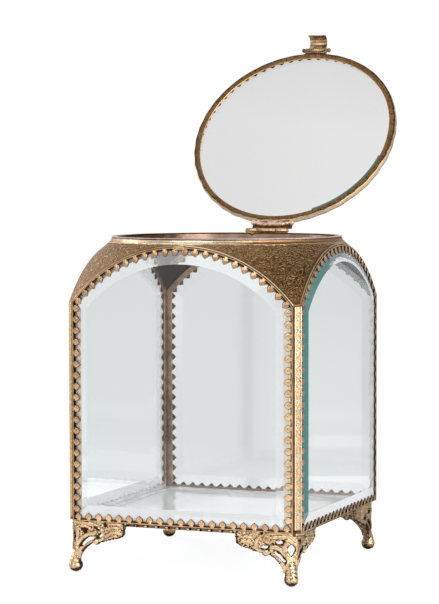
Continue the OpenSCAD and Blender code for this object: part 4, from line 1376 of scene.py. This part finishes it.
def easeEdges(node, body, finish, width):
    mesh = frame["nodes"][node].data.copy()
    mesh.materials.clear()
    mesh.materials.append(finishes[finish])
    work = bmesh.new()
    work.from_mesh(mesh)
    bmesh.ops.remove_doubles(work, verts=work.verts, dist=easing["weld"] * mm)
    flat = math.radians(easing["flat"])
    bmesh.ops.dissolve_limit(work, angle_limit=flat, verts=work.verts, edges=work.edges)
    work.to_mesh(mesh)
    work.free()
    piece = linked(partName(node), mesh)
    bevel = piece.modifiers.new("bevel", "BEVEL")
    bevel.width, bevel.segments = width * mm, 2
    bevel.limit_method, bevel.angle_limit = "ANGLE", math.radians(easing["corner"])
    made = evaluated(piece)
    piece.modifiers.clear()
    piece.data = made
    made.shade_smooth()
    made.set_sharp_from_angle(angle=math.radians(easing["sharp"]))
    if node.startswith("hinge"):
        for v in made.vertices:
            y, z = v.co.y / mm - hinge[1], v.co.z / mm - hinge[2]
            if math.hypot(y, z) < barrel["radius"]:
                v.co.y, v.co.z = (hinge[1] + y * barrel["slim"]) * mm, (hinge[2] + z * barrel["slim"]) * mm
    if node in ("hinge_lid_leaf", "latch_pin"):  # the leaf's plate and the pin's heads are darker
        made.materials.append(finishes["valley"])
        for p in made.polygons:
            x, y, z = p.center / mm
            onPlate = math.hypot(y - hinge[1], z - hinge[2]) > barrel["leaf"]
            onHead = abs(x - pinHeads["middle"]) > pinHeads["from"]
            p.material_index = int(onPlate if node == "hinge_lid_leaf" else onHead)
    return dress(piece, body, [node])


for node, choices in fittings.items():
    easeEdges(node, *choices)

solder = {
    "lumps": 17,
    "half": 8.0,  # half the length of the run
    "size": 0.78,
    "sizes": (-0.18, 0.38),
    "out": 0.85,
    "outs": (-0.1, 0.35),
    "up": 0.75,
    "ups": (-0.25, 0.25),
    "voxel": 0.16,
    "gap": 0.1,  # left between it and the collar
    "seed": 4,
}


def rimSolder():  # melted lumps laid on the closed lid, flat above the collar, and then turned up with it
    s = solder
    rng = np.random.default_rng(s["seed"])
    shape = Shape()
    for i in range(s["lumps"]):
        x = -s["half"] + 2 * s["half"] * i / (s["lumps"] - 1)
        y = math.sqrt(lidR**2 - x * x) + s["out"]
        r = s["size"] + rng.uniform(*s["sizes"])
        centre = (x, y + rng.uniform(*s["outs"]), rimZ + s["up"] + rng.uniform(*s["ups"]))
        shape.add(*ball(centre, r), "solder")
    made = voxelSkin(newMesh("rimSolder", shape.points, shape.faces), s["voxel"], 3)
    made.materials.clear()
    made.materials.append(finishes["solder"])
    made.shade_smooth()
    for v in made.vertices:
        x, y, z = v.co / mm
        beyond = max(math.hypot(x, y) - collarR - collar["lip"] - 0.15, 0)
        v.co = Vector(openLid([(x, y, max(z, rimZ + s["gap"] - 2 * beyond))])[0]) * mm
    return dress(linked("rimSolder", made), "lid")


rimSolder()
print("hinge and latch made")

for piece in pattern.values():
    bpy.data.objects.remove(piece)

# Floor, light and what lies behind the casket.
stage = {
    "floor": 0.8,
    "down": 0.00004,  # floor below the toes, in metres
    "behind": 0.72,  # grey of the backdrop seen through the panes
    "sheet": 1.1,  # white sheet that the casket stands on, seen through the panes
    "sheetEnds": 0.1654,  # how far the sheet reaches behind the middle of the casket, in metres
    "sheetTurn": 0.156,
    "soft": 0.0015,  # how soft its end is
    "tint": (0.985, 0.99, 1.0),
    "gloss": (0.36, 0.76),  # what the brass reflects from below, and how much more in the pale band
    "white": (0.84, 0.3),  # what the camera sees: light of its own, and a share that takes shadows
    "ambient": 0.55,
}
backdrop = {  # where each part of it starts and ends, in metres behind the casket
    "closer": (1.6, 0.5, 0.075),  # and how much lighter it is nearer by
    "slantFrom": 0.82,
    "right": (0.02, 0.04),  # slant of the edge between its left and its right part
    # painted light: the right part of the backdrop and a strip across it are lighter, where light from the
    # right falls
    "rightLighter": 0.09,
    "strip": (0.345, 0.40, 0.008),  # pale strip across the right part, and how soft it ends
    "stripLighter": 0.1,
    "wider": (0.236, 0.232),  # the sheet's end in the right part
    "mirrored": (-0.32, 0.0, 0.03),  # pale band in front, that the brass reflects
}


def makeFloor():
    mesh = bpy.data.meshes.new("floor")
    mesh.from_pydata([(-3, -3, 0), (3, -3, 0), (3, 3, 0), (-3, 3, 0)], [], [(0, 1, 2, 3)])
    floor = linked("floor", mesh)
    floor.location.z = -stage["down"]
    n, b = Nodes(bpy.data.materials.new("paleFloor")), backdrop
    n.finish(color=(stage["floor"],) * 3, rough=0.9, specular=0.1)
    az = math.radians(view["azimuth"])
    along = n.towards(-math.sin(az), math.cos(az))
    across = n.towards(math.cos(az), math.sin(az))

    def between(low, high, soft):
        down = n.mapped(along, high - soft, high + soft, 1.0, 0.0)
        return n.times(n.mapped(along, low - soft, low + soft), down)

    right = n.mapped(n.math("DIVIDE", across, n.plus(along, b["slantFrom"])), *b["right"])
    start, end, most = b["closer"]
    closer = n.mapped(along, start, end, 0.0, most)
    beyond = n.plus(stage["behind"], n.times(closer, n.plus(0.25, n.times(right, 0.75))))
    strip = n.plus(b["rightLighter"], n.times(between(*b["strip"]), b["stripLighter"]))
    beyond = n.plus(beyond, n.times(right, strip))
    ends, soft = stage["sheetEnds"], stage["soft"]
    near = n.mapped(n.towards(stage["sheetTurn"], 1.0), ends + soft, ends - soft)
    near = n.math("MAXIMUM", near, n.times(right, n.mapped(along, *b["wider"])))
    level = n.plus(beyond, n.times(near, n.math("SUBTRACT", stage["sheet"], beyond)))
    through = n.glow(level, stage["tint"])
    least, more = stage["gloss"]
    gloss = n.glow(n.plus(least, n.times(between(*b["mirrored"]), more)))
    own, share = stage["white"]
    shadowed = n.add("BsdfDiffuse", {"Color": (share, share, share, 1)}).outputs[0]
    white = n.add("AddShader", {0: n.glow(own), 1: shadowed}).outputs[0]
    n.showByRay(n.shader.outputs[0], gloss, through, white)
    mesh.materials.append(n.owner)


softboxes = [  # azimuth, height, width and strength of what the brass reflects
    (66, 0.12, 42, 1.15),  # softbox on the right
    (-118, 0.3, 48, 0.35),  # window on the left
    (150, 0.0, 34, -0.1),  # dark corner behind
    (-90, 4.0, 36, 0.85),  # lamp overhead
]
sky = {"rises": (0.3, 0.66), "low": 0.5, "least": 0.1, "core": 0.4}  # what the brass reflects besides
room = {  # how much lighter or darker each part of the room is, seen through glass
    "right": 0.045,
    "band": -0.11,  # far wall, seen through the lid
    "high": 0.7,
    "front": 0.4,
    "color": (1.0, 0.985, 0.985),
}
roomFrom = {  # where each part starts and is full, as sines of the angle
    "right": (0.012, 0.045),
    "band": (0.02, 0.042, 0.066),
    "high": (0.125, 0.15),
    "front": (0.2, 0.6),
}


def makeWorld():
    scene.world = bpy.data.worlds.new("studio")
    n = Nodes(scene.world)
    n.tree.nodes.remove(n.tree.nodes["Background"])
    rise = n.add("SeparateXYZ", {0: n.coords}).outputs["Z"]
    low = n.mapped(rise, *sky["rises"], 1.0, 0.0, "SMOOTHSTEP")
    level = n.plus(n.times(low, sky["low"]), sky["least"])
    for azimuth, height, width, strength in softboxes:
        a = math.radians(azimuth)
        aim = Vector((math.sin(a), -math.cos(a), height)).normalized()
        edge, full = (math.cos(math.radians(v)) for v in (width, width * sky["core"]))
        level = n.plus(level, n.times(n.mapped(n.towards(*aim), edge, full, kind="SMOOTHSTEP"), strength))
    az = math.radians(view["azimuth"])
    right = n.mapped(n.towards(math.cos(az), math.sin(az)), *roomFrom["right"])
    front = n.mapped(n.towards(math.sin(az), -math.cos(az)), *roomFrom["front"])
    high = n.mapped(rise, *roomFrom["high"])
    start, full, end = roomFrom["band"]
    band = n.times(n.mapped(rise, start, full), n.mapped(rise, full, end, 1.0, 0.0))
    behind = n.plus(n.plus(n.times(right, room["right"]), n.times(band, room["band"])), stage["behind"])
    behind = n.plus(behind, n.plus(n.times(high, room["high"]), n.times(front, room["front"])))
    n.showByRay(n.glow(stage["ambient"]), n.glow(level), n.glow(behind, room["color"]), n.glow(1.0))


lamps = [  # azimuth, height, distance, size, watts
    (62, 0.45, 1.3, 0.9, 9.0),
    (-100, 0.5, 1.4, 1.0, 6.0),
    (-15, 0.9, 1.6, 0.9, 6.0),
]


def makeLamps():
    for i, (azimuth, height, distance, size, watts) in enumerate(lamps):
        a = math.radians(azimuth)
        data = bpy.data.lights.new(f"softbox{i + 1}", "AREA")
        data.size, data.energy = size, watts
        lamp = linked(data.name, data)
        lamp.location = Vector((math.sin(a) * distance, -math.cos(a) * distance, height))
        lamp.rotation_euler = (Vector((0, 0, 0.08)) - lamp.location).to_track_quat("-Z", "Y").to_euler()


makeFloor()
makeWorld()
makeLamps()
scene.view_settings.view_transform = "Standard"
print("stage set")

bpy.context.view_layer.update()
